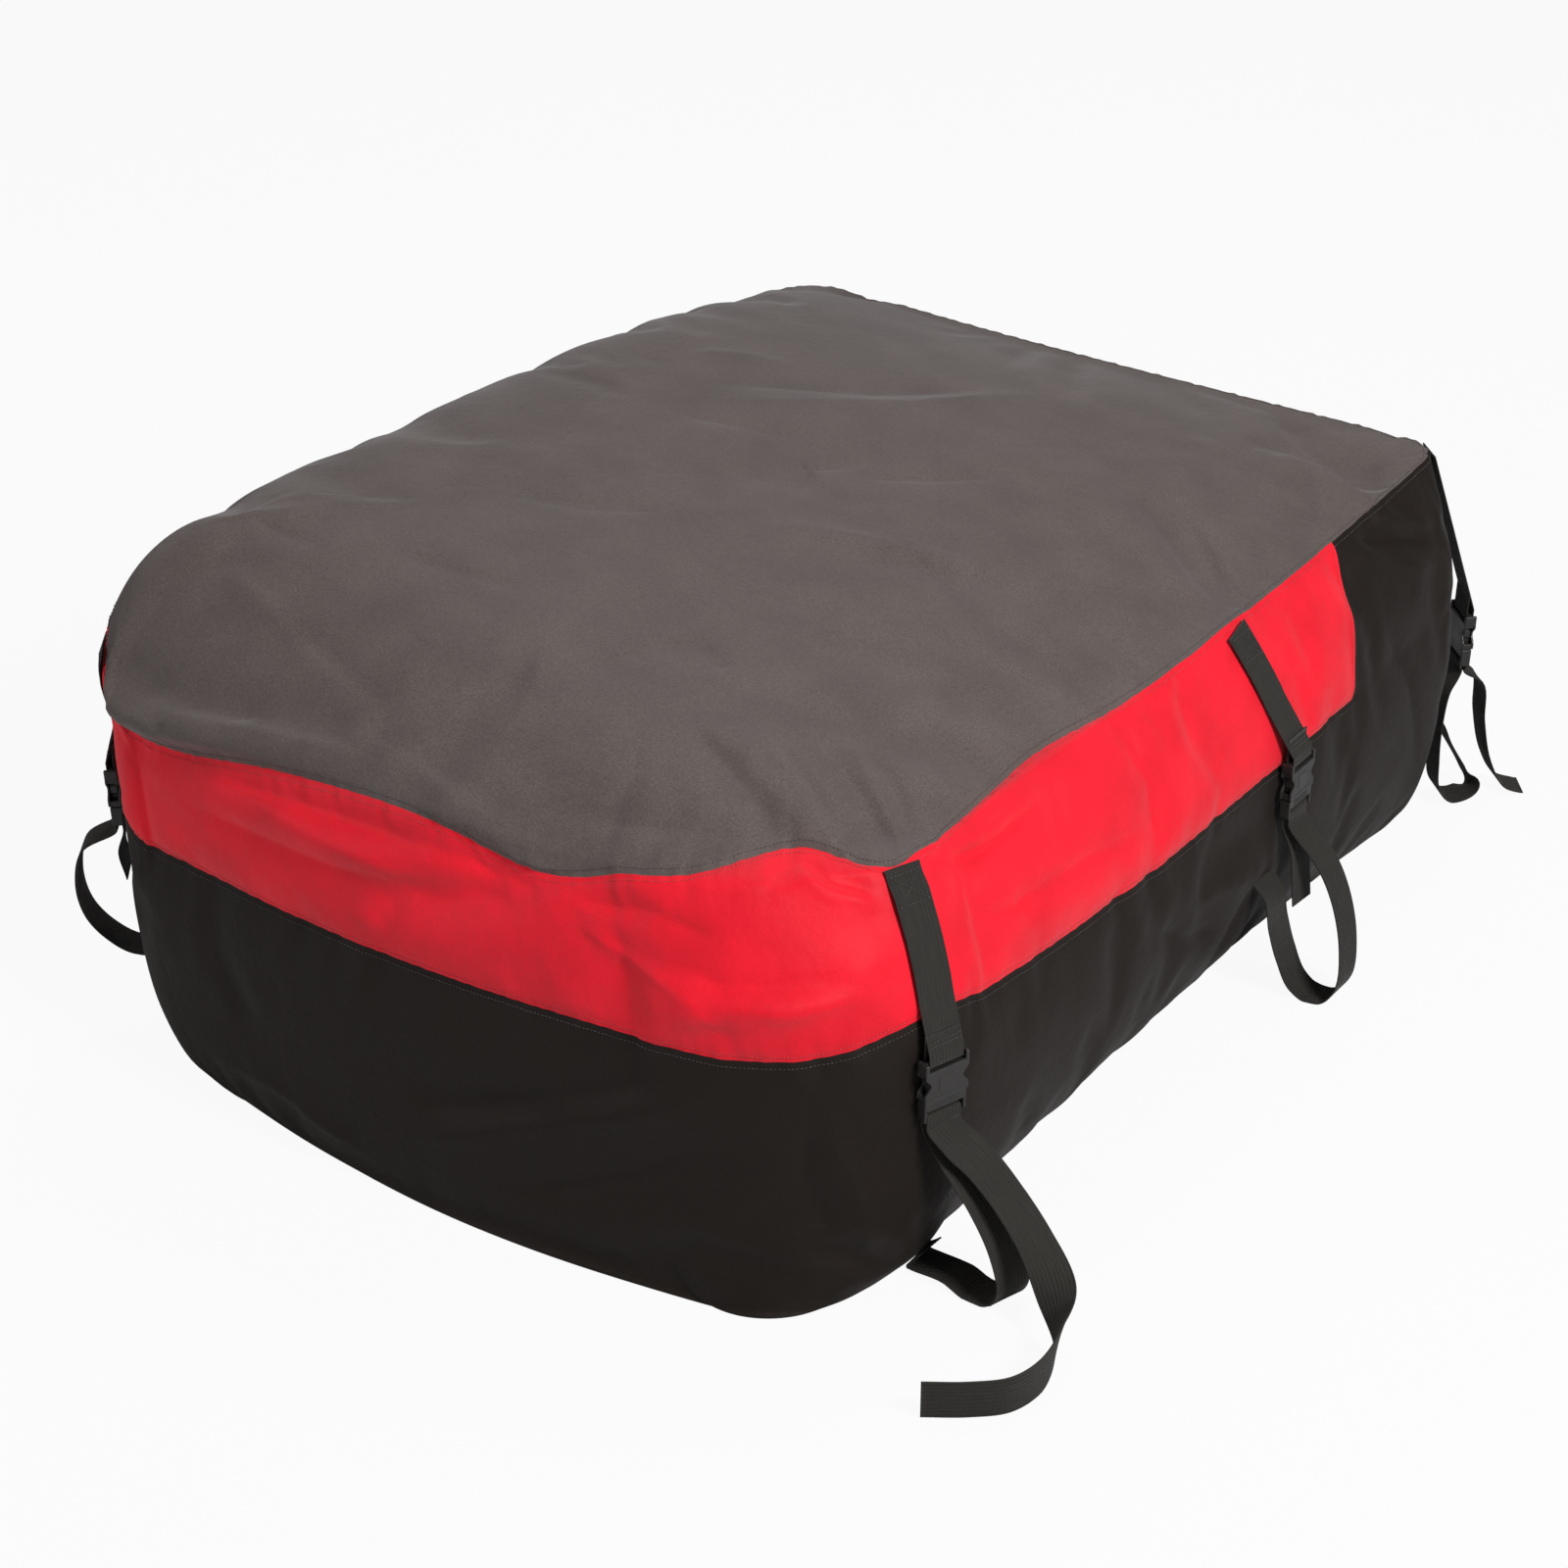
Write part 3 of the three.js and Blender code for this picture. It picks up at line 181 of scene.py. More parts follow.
# Spare cloth of the top rolls over the seam at the front left.
EDGE_ROLL_RISE = 18
EDGE_ROLL_REACH = 28
EDGE_ROLL_WIDTH = 14
EDGE_ROLL_PLACE = 0.18
EDGE_ROLL_SPREAD = 0.4

# Sharper creases of each panel, in the same form. A line may lie this far off the cloth.
CREASE_REACH = 40
CREASES = (
    # the top: back, middle and left
    (-5, 14, ((-235, 90, 520), (-180, 150, 515), (-90, 220, 500), (-10, 340, 480))),
    (4.5, 16, ((-195, 70, 520), (-120, 140, 510), (-45, 225, 495), (25, 400, 465))),
    (-5, 14, ((-215, 20, 520), (-140, 50, 515), (-70, 80, 505))),
    (4.5, 14, ((-285, 155, 520), (-235, 195, 515), (-175, 215, 510))),
    (6.5, 14, ((-15, -110, 500), (90, -50, 480), (220, 25, 450))),
    (-5, 14, ((80, -85, 480), (190, -15, 455), (240, 10, 445))),
    (-7, 12, ((-260, -510, 495), (-175, -525, 480), (-85, -545, 460))),
    (6.5, 14, ((-350, -490, 515), (-240, -515, 490), (-175, -540, 470))),
    (-4.5, 9, ((-220, -390, 520), (-145, -375, 515), (-75, -360, 505))),
    (-4.5, 8, ((-360, -430, 540), (-270, -425, 525))),
    (-5, 12, ((-230, -235, 525), (-140, -200, 515), (-65, -140, 505))),
    (-4.5, 12, ((0, 45, 495), (60, 105, 485), (115, 180, 475))),
    # the top: towards the front right strap
    (-5, 16, ((30, -415, 485), (50, -370, 485), (65, -310, 485))),
    (-6.5, 14, ((60, -300, 485), (95, -320, 480), (125, -325, 470))),
    (-6.5, 14, ((140, -420, 465), (225, -445, 435), (270, -465, 420))),
    (6.5, 11, ((170, -370, 460), (285, -435, 420), (345, -445, 400))),
    (-5, 10, ((195, -375, 450), (295, -420, 415), (345, -435, 400))),
    (5, 9, ((240, -320, 440), (305, -365, 415), (365, -400, 400))),
    (-5, 9, ((250, -310, 435), (305, -335, 420), (365, -390, 400))),
    (4.5, 12, ((160, -295, 465), (220, -290, 450), (280, -310, 430))),
    (-4.5, 12, ((250, -245, 440), (315, -245, 415), (370, -230, 400))),
    (-6.5, 13, ((60, -565, 420), (130, -540, 425), (195, -520, 425), (280, -470, 415))),
    (5, 10, ((-155, -570, 440), (-115, -570, 440), (-30, -575, 430), (40, -585, 405))),
    # the top: towards the band's end and the rear right corner
    (-6.5, 9, ((275, 475, 425), (320, 415, 415), (355, 355, 405))),
    (-6.5, 8, ((255, 500, 425), (320, 505, 415), (380, 515, 400))),
    (5, 10, ((285, 470, 420), (345, 470, 410), (380, 500, 400))),
    (-6.5, 8, ((250, 275, 440), (310, 225, 420), (350, 190, 405))),
    (-5, 12, ((205, 465, 435), (280, 380, 425), (315, 345, 420))),
    (4.5, 12, ((245, 445, 430), (300, 390, 420), (335, 350, 410))),
    # the band
    (6.5, 9, ((-290, -595, 350), (-195, -605, 360), (-120, -610, 355), (0, -605, 350))),
    (-5, 12, ((-305, -595, 330), (-210, -610, 330), (-110, -615, 330), (-10, -610, 340))),
    (-6.5, 9, ((125, -585, 360), (215, -570, 370), (285, -555, 355))),
    (-7, 8, ((245, -580, 335), (285, -570, 320), (340, -530, 320), (380, -485, 325))),
    (6.5, 9, ((255, -580, 315), (290, -570, 305), (335, -545, 305), (385, -485, 315))),
    (6.5, 10, ((135, -590, 350), (190, -585, 330), (255, -585, 310), (295, -575, 285))),
    (-7, 7, ((300, -475, 410), (330, -480, 400), (365, -445, 380))),
    (7, 8, ((295, -490, 405), (335, -485, 390), (370, -450, 370))),
    (8, 8, ((375, -390, 395), (385, -320, 385), (385, -210, 385))),
    (-7, 8, ((380, -390, 385), (390, -325, 375), (390, -210, 375))),
    (-5, 7, ((410, -390, 330), (415, -315, 320), (420, -205, 315), (425, -95, 300))),
    # the side panels: front, right and rear right corner
    (5, 12, ((-305, -600, 50), (-205, -615, 60), (-65, -625, 25))),
    (7, 16, ((-50, -625, 65), (75, -615, 120), (185, -605, 170), (295, -580, 225))),
    (-6.5, 14, ((-50, -620, 105), (40, -620, 130), (165, -605, 190), (280, -585, 240))),
    (-7, 16, ((60, -620, 50), (145, -610, 80), (220, -600, 120), (295, -580, 180))),
    (6.5, 14, ((375, -530, 220), (370, -530, 180), (385, -505, 95), (375, -470, 20))),
    (-6.5, 14, ((360, -545, 205), (355, -545, 140), (370, -520, 70))),
    (7, 16, ((440, -35, 180), (440, 30, 180), (435, 135, 155))),
    (-6.5, 12, ((440, -125, 210), (435, -20, 145), (430, 75, 110))),
    (-8.5, 10, ((380, 395, 395), (395, 465, 375), (410, 540, 345))),
    (7, 12, ((385, 370, 390), (405, 445, 355), (420, 530, 320))),
    (7, 10, ((380, 445, 400), (395, 515, 375), (405, 555, 355))),
    (-5, 12, ((415, 385, 330), (435, 455, 220), (420, 515, 80))),
    # the side panels: rear and left, which the folds of the load shape alike
    (-6.5, 14, ((250, 622, 260), (330, 610, 120))),
    (6.5, 16, ((-320, 618, 260), (-120, 622, 190), (40, 620, 150))),
    (-6.5, 12, ((-452, 420, 300), (-450, 250, 250), (-440, 60, 190))),
    (-4, 14, ((-450, -120, 260), (-445, -260, 180), (-430, -380, 90))),
)

PLACES = (110, 80, 160, 36, 100, 36, 120, 40)
ROWS = (96, 36, 48)
SETTLE_PLACES = (50, 30, 66, 14, 44, 16, 50, 14)
SETTLE_ROWS = (34, 15, 22)


def outline(plan, places):
    """Points of a plan outline at places from 0 to 8 round it: a side, its corner, and so on."""
    wrapped = np.mod(np.asarray(places, float), 8.0)
    segment = np.floor(wrapped).astype(int)
    f = wrapped - segment
    front_right, rear_right, rear_left, front_left = plan["radius"]
    bow_front, bow_right, bow_rear, bow_left = plan["bow"]
    right, left, front, rear = (plan[k] for k in ("right", "left", "front", "rear"))
    bow, s, c = 4 * f * (1 - f), np.sin(f * np.pi / 2), np.cos(f * np.pi / 2)
    x = np.choose(segment, [
        (front_left - left) * (1 - f) + (right - front_right) * f, right - front_right + front_right * s,
        right + bow_right * bow, right - rear_right + rear_right * c,
        (right - rear_right) * (1 - f) + (rear_left - left) * f, rear_left - left - rear_left * s,
        -left - bow_left * bow, front_left - left - front_left * c])
    y = np.choose(segment, [
        -front - bow_front * bow, front_right - front - front_right * c,
        (front_right - front) * (1 - f) + (rear - rear_right) * f, rear - rear_right + rear_right * s,
        rear + bow_rear * bow, rear - rear_left + rear_left * c,
        (rear - rear_left) * (1 - f) + (front_left - front) * f, front_left - front - front_left * s])
    return np.stack([x, y], -1)


def outward(places):
    """Outward directions of the seam's outline."""
    along = outline(SEAM, np.asarray(places) + 0.001) - outline(SEAM, np.asarray(places) - 0.001)
    along /= np.linalg.norm(along, axis=-1, keepdims=True)
    return np.stack([along[..., 1], -along[..., 0], np.zeros(along.shape[:-1])], -1)


def seam_level(plan):
    """Shares across and along the bag, and the height of the seam's surface, over plan points."""
    u = np.clip((plan[..., 0] - SEAM["right"]) / ((SEAM["right"] + SEAM["left"]) / 2) + 1, -1, 1)
    v = np.clip((plan[..., 1] - SEAM["rear"]) / ((SEAM["rear"] + SEAM["front"]) / 2) + 1, -1, 1)
    ends = (1 - np.minimum(v, 0) ** 14) * (1 - LEFT_REAR_FALL * np.maximum(v, 0) ** 4)
    lift = (size("left_lift") - LEFT_LIFT_SLOPE * v) * ((1 - u) / 2) ** 4 * ends
    return u, v, size("seam_height") + lift + REAR_LIFT * ((1 + v) / 2) ** 4


def fold_rise(points, folds, normals=None):
    """How far folds move the cloth at points: each fades over its ends.

    Without normals a fold is round; with them its distance is taken along the surface and its crest is sharp.
    """
    rise = np.zeros(len(points))
    for height, width, line in folds:
        ends = np.array(line, float)
        runs = np.linalg.norm(np.diff(ends, axis=0), axis=1)
        runs /= runs.sum()
        nearest = np.full(len(points), np.inf)
        at = np.zeros(len(points))
        for a, b, run, start in zip(ends[:-1], ends[1:], runs, np.cumsum(runs) - runs):
            share = np.clip((points - a) @ (b - a) / ((b - a) @ (b - a)), 0, 1)
            away = points - a - share[:, None] * (b - a)
            if normals is not None:
                off = np.sum(away * normals, axis=1, keepdims=True)
                away = np.where(abs(off) < CREASE_REACH, away - off * normals, away)
            away = np.linalg.norm(away, axis=1)
            at = np.where(away < nearest, start + share * run, at)
            nearest = np.minimum(nearest, away)
        fade = np.clip(np.minimum(at, 1 - at) / FOLD_FADE, 0, 1)
        off = nearest / width
        crest = np.exp(-off ** 2) if normals is None else np.exp(0.1 - np.hypot(off, 0.1))
        rise += height * fade ** 2 * (3 - 2 * fade) * crest
    return rise


def folded(points, places, tilt):
    """Points moved by the soft folds along a direction that tilts up over the seam."""
    shape = points.shape
    tilt = np.broadcast_to(tilt, shape[:-1])[..., None]
    direction = outward(places) * np.cos(tilt) + np.array([0, 0, 1]) * np.sin(tilt)
    rise = fold_rise(points.reshape(-1, 3), FOLDS).reshape(shape[:-1])
    return points + direction * rise[..., None]


def wall(places, shares):
    """Points of the wall at shares of the way down from the seam."""
    places, shares = np.broadcast_arrays(np.asarray(places, float), np.asarray(shares, float))
    seam, bulge, base = (outline(plan, places) for plan in (SEAM, BULGE, BASE))
    upper = np.sin(np.minimum(shares / BULGE_SHARE, 1) * np.pi / 2)[..., None]
    below = np.clip((shares - BULGE_SHARE) / (1 - BULGE_SHARE), 0, 1)
    lower = ((1 - below ** LOWER_ROUNDNESS) ** (1 / LOWER_ROUNDNESS))[..., None]
    plan = np.where(shares[..., None] < BULGE_SHARE, seam + (bulge - seam) * upper, base + (bulge - base) * lower)
    points = np.concatenate([plan, (seam_level(seam)[2] * (1 - shares))[..., None]], -1)
    tilt = (np.pi / 4) * np.maximum(0, 1 - shares / WALL_TILT_SHARE)
    return np.where(shares[..., None] > FOOT_SHARE, points, folded(points, places, tilt))


def top(places, shares):
    """Points of the top at shares of the way out from its middle."""
    places, shares = np.broadcast_arrays(np.asarray(places, float), np.asarray(shares, float))
    middle = np.array([(SEAM["right"] - SEAM["left"]) / 2, (SEAM["rear"] - SEAM["front"]) / 2])
    plan = middle + (outline(SEAM, places) - middle) * shares[..., None]
    u, v, height = seam_level(plan)
    fall = (1 - ((1 + u) / 2) ** DOME_SIDE_POWER) * (1 - np.maximum(v, 0) ** DOME_REAR_POWER)
    dome = (size("dome_rise") - LEFT_DOME_LOSS * np.maximum(0, -u)) * (1 - shares ** DOME_EDGE_POWER) * fall
    tilt = (np.pi / 4) * (1 + np.minimum(1, (1 - shares) / TOP_TILT_SHARE))
    return folded(np.concatenate([plan, (height + dome)[..., None]], -1), places, tilt)


def bell(places, middle, spread):
    """A bell curve round the bag: 1 at its middle place, falling away over its spread."""
    return np.exp(-((((places - middle + 4) % 8 - 4) / spread) ** 2))


def seam_share(places):
    """The share at which the top panel ends."""
    return sum(share * bell(places, middle, spread) for middle, spread, share in SEAM_STRAYS)


def banded(places):
    """Whether places round the bag lie on the band's stretch."""
    return (places <= BAND_END) | (places >= BAND_START)


def band_share(places):
    """The share of the wall's height that the band covers."""
    return BAND_SHARE - BAND_CORNER_RISE * bell(places, BAND_CORNER_PLACE, BAND_CORNER_SPREAD)


def surface(places, shares):
    """Points of the shell: shares from -1 to 0 run from the top's middle to its edge, those to 1 down the wall."""
    return np.where(shares[..., None] < 0, top(places, 1 + np.minimum(shares, 0)), wall(places, np.maximum(shares, 0)))


def round_places(counts):
    """Places round the bag, with one at each end of the band."""
    places = np.concatenate([k + np.arange(n) / n for k, n in enumerate(counts)])
    for end in (BAND_END, BAND_START):
        places[np.argmin(abs(places - end))] = end
    return places


def shell(counts, rows):
    """A grid of surface points from the middle of the top to the base, and their places."""
    places = round_places(counts)
    seam, edge = seam_share(places), band_share(places)
    out, across, down = (np.arange(1, n + 1)[:, None] / n for n in rows)
    out = 1 - (1 - out) ** 1.25
    down = 1 - (1 - down) ** 1.3
    shares = np.concatenate([out * (seam + 1) - 1, seam + (edge - seam) * across, edge + (1 - edge) * down])
    return surface(np.broadcast_to(places, shares.shape), shares), places


def grid_faces(rows, columns, closed=True):
    """Quads of a grid, wound so that they face outwards."""
    r, c = np.meshgrid(np.arange(rows - 1), np.arange(columns if closed else columns - 1), indexing="ij")
    r, c = r.ravel(), c.ravel()
    d = (c + 1) % columns
    return np.stack([r * columns + c, (r + 1) * columns + c, (r + 1) * columns + d, r * columns + d], -1)


def grid_normals(points):
    """Unit normals of a closed grid of points."""
    across = np.roll(points, -1, 1) - np.roll(points, 1, 1)
    down = np.empty_like(points)
    down[1:-1] = points[2:] - points[:-2]
    down[0], down[-1] = points[1] - points[0], points[-1] - points[-2]
    normals = np.cross(down, across)
    return normals / np.maximum(np.linalg.norm(normals, axis=-1, keepdims=True), 1e-9)


# ---------------------------------------------------------------- meshes


def mesh_object(name, points, faces, smooth=True, uv=None):
    """A mesh object from points in millimetres."""
    mesh = bpy.data.meshes.new(name)
    mesh.from_pydata((np.asarray(points, float).reshape(-1, 3) * MM).tolist(), [], [list(map(int, f)) for f in faces])
    if smooth:
        mesh.shade_smooth()
    if uv is not None:
        layer = mesh.uv_layers.new(name="Cut")
        corners = np.empty(len(mesh.loops), int)
        mesh.loops.foreach_get("vertex_index", corners)
        layer.data.foreach_set("uv", (np.asarray(uv, float).reshape(-1, 2)[corners] * MM).ravel())
    mesh.validate()
    obj = bpy.data.objects.new(name, mesh)
    bpy.context.scene.collection.objects.link(obj)
    return obj


def solid_mesh(obj):
    """Replaces an object's modifiers by the plain mesh that they give."""
    depsgraph = bpy.context.evaluated_depsgraph_get()
    mesh = bpy.data.meshes.new_from_object(obj.evaluated_get(depsgraph), depsgraph=depsgraph)
    name = obj.name
    obj.modifiers.clear()
    if obj.type == "MESH":
        obj.data = mesh
        return obj
    matrix = obj.matrix_world.copy()
    bpy.data.objects.remove(obj)
    made = bpy.data.objects.new(name, mesh)
    made.matrix_world = matrix
    bpy.context.scene.collection.objects.link(made)
    return made


def join(name, objects):
    """Several mesh objects as one, at the origin."""
    bpy.context.view_layer.update()
    points, faces, flags, uvs, base = [], [], [], [], 0
    has_uv = all(o.data.uv_layers for o in objects)
    for o in objects:
        count = len(o.data.vertices)
        local = np.empty(count * 3)
        o.data.vertices.foreach_get("co", local)
        world = np.array(o.matrix_world)
        points.append(local.reshape(-1, 3) @ world[:3, :3].T + world[:3, 3])
        for polygon in o.data.polygons:
            faces.append([v + base for v in polygon.vertices])
            flags.append(polygon.use_smooth)
        if has_uv:
            part = np.empty(len(o.data.loops) * 2)
            o.data.uv_layers[0].data.foreach_get("uv", part)
            uvs.append(part)
        base += count
    mesh = bpy.data.meshes.new(name)
    mesh.from_pydata(np.concatenate(points).tolist(), [], faces)
    mesh.polygons.foreach_set("use_smooth", flags)
    if has_uv:
        mesh.uv_layers.new(name="Cut").data.foreach_set("uv", np.concatenate(uvs))
    for o in objects:
        bpy.data.objects.remove(o)
    made = bpy.data.objects.new(name, mesh)
    bpy.context.scene.collection.objects.link(made)
    return made


def place(obj, matrix):
    """Moves an object's mesh by a matrix whose distances are in millimetres."""
    moved = matrix.copy()
    moved.translation = matrix.translation * MM
    obj.data.transform(moved)
    if moved.to_3x3().determinant() < 0:
        obj.data.flip_normals()
    return obj


def finish(obj, name, finish_slot, body, *nodes):
    """Gives a finished piece its material, and ties it to its body and to the nodes it stands for. Its slot is not
    used.
    """
    obj.data.materials.clear()
    obj.data.materials.append(material(name))
    if body:
        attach(obj, body)
    if nodes:
        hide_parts(*nodes)
    return obj


# ---------------------------------------------------------------- materials


def add(tree, kind, links=(), **values):
    """A node with its settings and inputs: each input is a value, a socket, or a node for its first output."""
    node = tree.nodes.new(kind)
    for key, value in values.items():
        setattr(node, key, value)
    for socket, source in dict(links).items():
        if isinstance(source, bpy.types.Node):
            source = source.outputs[0]
        if isinstance(source, bpy.types.NodeSocket):
            tree.links.new(source, node.inputs[socket])
        else:
            node.inputs[socket].default_value = source
    return node


def new_material(name):
    """An empty material with its node tree and surface output."""
    made = bpy.data.materials.new(name)
    made.use_nodes = True
    made.node_tree.nodes.clear()
    return made, made.node_tree, made.node_tree.nodes.new("ShaderNodeOutputMaterial")


def shaded(parts, base, shade, inputs):
    """A material whose shader has its colour, made lighter and darker by a shade, and its other inputs."""
    made, tree, output = parts
    tint = add(tree, "ShaderNodeMix", {6: base, 7: shade, 0: 1.0}, data_type="RGBA", blend_type="MULTIPLY")
    shader = add(tree, "ShaderNodeBsdfPrincipled", {"Base Color": tint.outputs[2], **inputs})
    tree.links.new(shader.outputs[0], output.inputs[0])
    return made


# Spacings in metres, and the noises as waves to the metre with their detail.
YARN_SPACING = 0.0009
RIB_SPACING = 0.0019
PICK_SPACING = 0.0013
PICK_BEND = 1.4
CLOTH_NOISES = ((16.0, 3.0), (85.0, 4.0), (480.0, 3.0))
FUZZ_NOISE = (1400.0, 2.0)
SCUFF_NOISE = (50.0, 5.0)
PLY_NOISE = (2500.0, 1.0)
STREAKS = (900.0, 30.0, 1.0)


def cloth_material(name, base, roughness, sheen, fleck):
    """Coated woven polyester: yarns 0.9 mm apart, soft unevenness over 60 mm and fine crinkle over 12 mm."""
    parts = new_material(name)
    tree = parts[1]
    cut = add(tree, "ShaderNodeUVMap", uv_map="Cut")
    spot = add(tree, "ShaderNodeTexCoord")
    flat = add(tree, "ShaderNodeSeparateXYZ", {0: cut})
    yarns = []
    for k in (0, 1):
        turns = add(tree, "ShaderNodeMath", {0: flat.outputs[k], 1: 2 * math.pi / YARN_SPACING}, operation="MULTIPLY")
        yarns.append(add(tree, "ShaderNodeMath", {0: turns}, operation="SINE"))
    weave = add(tree, "ShaderNodeMath", {0: yarns[0], 1: yarns[1]}, operation="MULTIPLY")
    broad, crinkle, speck = (
        add(tree, "ShaderNodeTexNoise", {"Vector": spot.outputs["Object"], "Scale": scale, "Detail": detail})
        for scale, detail in CLOTH_NOISES)
    tone, grain, rough = (
        add(tree, "ShaderNodeMapRange", {0: noise, 1: 0.3, 2: 0.7, 3: middle - spread, 4: middle + spread})
        for noise, middle, spread in ((broad, 1.0, 0.1), (speck, 1.0, fleck), (broad, roughness, 0.05)))
    shade = add(tree, "ShaderNodeMath", {0: tone, 1: grain}, operation="MULTIPLY")
    fine = add(tree, "ShaderNodeBump", {"Height": weave, "Strength": 0.2, "Distance": 0.0001})
    soft = add(tree, "ShaderNodeBump", {"Height": crinkle, "Strength": 0.5, "Distance": 0.0016, "Normal": fine})
    return shaded(parts, base, shade, {
        "Roughness": rough, "Normal": soft, "IOR": 1.5, "Sheen Weight": sheen, "Sheen Roughness": 0.5,
        "Specular IOR Level": 0.18})


def webbing_material(name, base):
    """Woven polypropylene webbing: picks 1.3 mm apart across the ribs, with heather from yarn to yarn."""
    parts = new_material(name)
    tree = parts[1]
    cut = add(tree, "ShaderNodeUVMap", uv_map="Cut")
    flat = add(tree, "ShaderNodeSeparateXYZ", {0: cut})
    across = add(tree, "ShaderNodeMath", {0: flat.outputs[0], 1: 2 * math.pi / RIB_SPACING}, operation="MULTIPLY")
    along = add(tree, "ShaderNodeMath", {0: flat.outputs[1], 1: 2 * math.pi / PICK_SPACING}, operation="MULTIPLY")
    rows = add(tree, "ShaderNodeMath", {0: across}, operation="SINE")
    bent = add(tree, "ShaderNodeMath", {0: rows, 1: PICK_BEND}, operation="MULTIPLY")
    turns = add(tree, "ShaderNodeMath", {0: along, 1: bent}, operation="ADD")
    picks = add(tree, "ShaderNodeMath", {0: turns}, operation="SINE")
    streak = add(tree, "ShaderNodeVectorMath", {0: cut, 1: STREAKS}, operation="MULTIPLY")
    yarn = add(tree, "ShaderNodeTexNoise", {"Vector": streak, "Scale": 1.0, "Detail": 2.0})
    spot = add(tree, "ShaderNodeTexCoord")
    fuzz = add(tree, "ShaderNodeTexNoise", {
        "Vector": spot.outputs["Object"], "Scale": FUZZ_NOISE[0], "Detail": FUZZ_NOISE[1]})
    # Painted shade and highlight: the grooves between the ribs are painted darker and the picks' crowns are painted
    # lighter. The yarn streaks are the web's own heather.
    tone, lit, groove_shade = (
        add(tree, "ShaderNodeMapRange", {0: source, 1: low, 2: high, 3: dark, 4: light})
        for source, low, high, dark, light in (
            (yarn, 0.25, 0.75, 0.72, 1.22), (picks, -1.0, 1.0, 0.86, 1.08), (rows, -1.0, 0.6, 0.62, 1.14)))
    shade = tone
    for factor in (lit, groove_shade):
        shade = add(tree, "ShaderNodeMath", {0: shade, 1: factor}, operation="MULTIPLY")
    nap = add(tree, "ShaderNodeMath", {0: fuzz, 1: 0.8}, operation="MULTIPLY")
    height = add(tree, "ShaderNodeMath", {0: picks, 1: nap}, operation="ADD")
    bump = add(tree, "ShaderNodeBump", {"Height": height, "Strength": 0.5, "Distance": 0.00022})
    return shaded(parts, base, shade, {
        "Roughness": 0.66, "Normal": bump, "IOR": 1.49, "Sheen Weight": 0.12, "Sheen Roughness": 0.4,
        "Specular IOR Level": 0.25})


def moulded_material(name, base, roughness, metallic=0.0, grain=1600.0):
    """A moulded or cast surface: fine spark-eroded grain, with slight scuffs over 20 mm."""
    parts = new_material(name)
    tree = parts[1]
    spot = add(tree, "ShaderNodeTexCoord")
    fine, scuff = (
        add(tree, "ShaderNodeTexNoise", {"Vector": spot.outputs["Object"], "Scale": scale, "Detail": detail})
        for scale, detail in ((grain, 2.0), SCUFF_NOISE))
    tone, rough = (
        add(tree, "ShaderNodeMapRange", {0: scuff, 1: 0.35, 2: 0.65, 3: low, 4: high})
        for low, high in ((0.9, 1.1), (roughness - 0.07, roughness + 0.09)))
    bump = add(tree, "ShaderNodeBump", {"Height": fine, "Strength": 0.25, "Distance": 0.0001})
    return shaded(parts, base, tone, {"Roughness": rough, "Normal": bump, "IOR": 1.48, "Metallic": metallic})


def thread_material(name, base):
    """Twisted polyester thread, with plies that show as light and dark along it."""
    parts = new_material(name)
    tree = parts[1]
    spot = add(tree, "ShaderNodeTexCoord")
    ply = add(tree, "ShaderNodeTexNoise", {
        "Vector": spot.outputs["Object"], "Scale": PLY_NOISE[0], "Detail": PLY_NOISE[1]})
    tone = add(tree, "ShaderNodeMapRange", {0: ply, 1: 0.3, 2: 0.7, 3: 0.75, 4: 1.25})
    return shaded(parts, base, tone, {"Roughness": 0.5, "IOR": 1.55, "Sheen Weight": 0.3})


THREAD_COLOURS = {"dark": (*linear("#22201f"), 1.0), "red": (*linear("#b51822"), 1.0)}
MATERIALS = {
    # The top's colour holds painted light and the sides' colour holds painted shade: one black cloth in a lit and a
    # shaded copy.
    "Coated 600D polyester, top, painted lit": lambda name: cloth_material(name, colour("top_cloth"), 0.6, 0.15, 0.2),
    "Coated 600D polyester, sides, painted shade": lambda name: cloth_material(name, colour("side_cloth"), 0.6, 0.03, 0.16),
    "Coated 600D polyester, band": lambda name: cloth_material(name, colour("band_cloth"), 0.58, 0.12, 0.05),
    "Woven polypropylene webbing": lambda name: webbing_material(name, colour("webbing")),
    "Injection moulded acetal": lambda name: moulded_material(name, colour("buckle"), 0.42),
    "Woven polyester zip tape": lambda name: webbing_material(name, colour("zip_tape")),
    "Drawn nylon coil": lambda name: moulded_material(name, colour("zip_tape"), 0.35, grain=900.0),
    "Die-cast zinc, black coated": lambda name: moulded_material(name, colour("zip_metal"), 0.36, 0.75),
    "Polyester thread, dark": lambda name: thread_material(name, THREAD_COLOURS["dark"]),
    "Polyester thread, red": lambda name: thread_material(name, THREAD_COLOURS["red"]),
}


def material(name):
    """A finish by name, made when it is first used."""
    return bpy.data.materials.get(name) or MATERIALS[name](name)


# ---------------------------------------------------------------- the cloth shell


CLOTH_RULES = {
    "quality": 4, "mass": 0.25, "tension_stiffness": 18, "compression_stiffness": 18, "shear_stiffness": 8,
    "bending_stiffness": 0.8, "air_damping": 4, "use_pressure": True, "uniform_pressure_force": 3.0,
    "vertex_group_mass": "Sewn"}
STATION_HOLD = 0.09
SWELLING_PASSES = 30


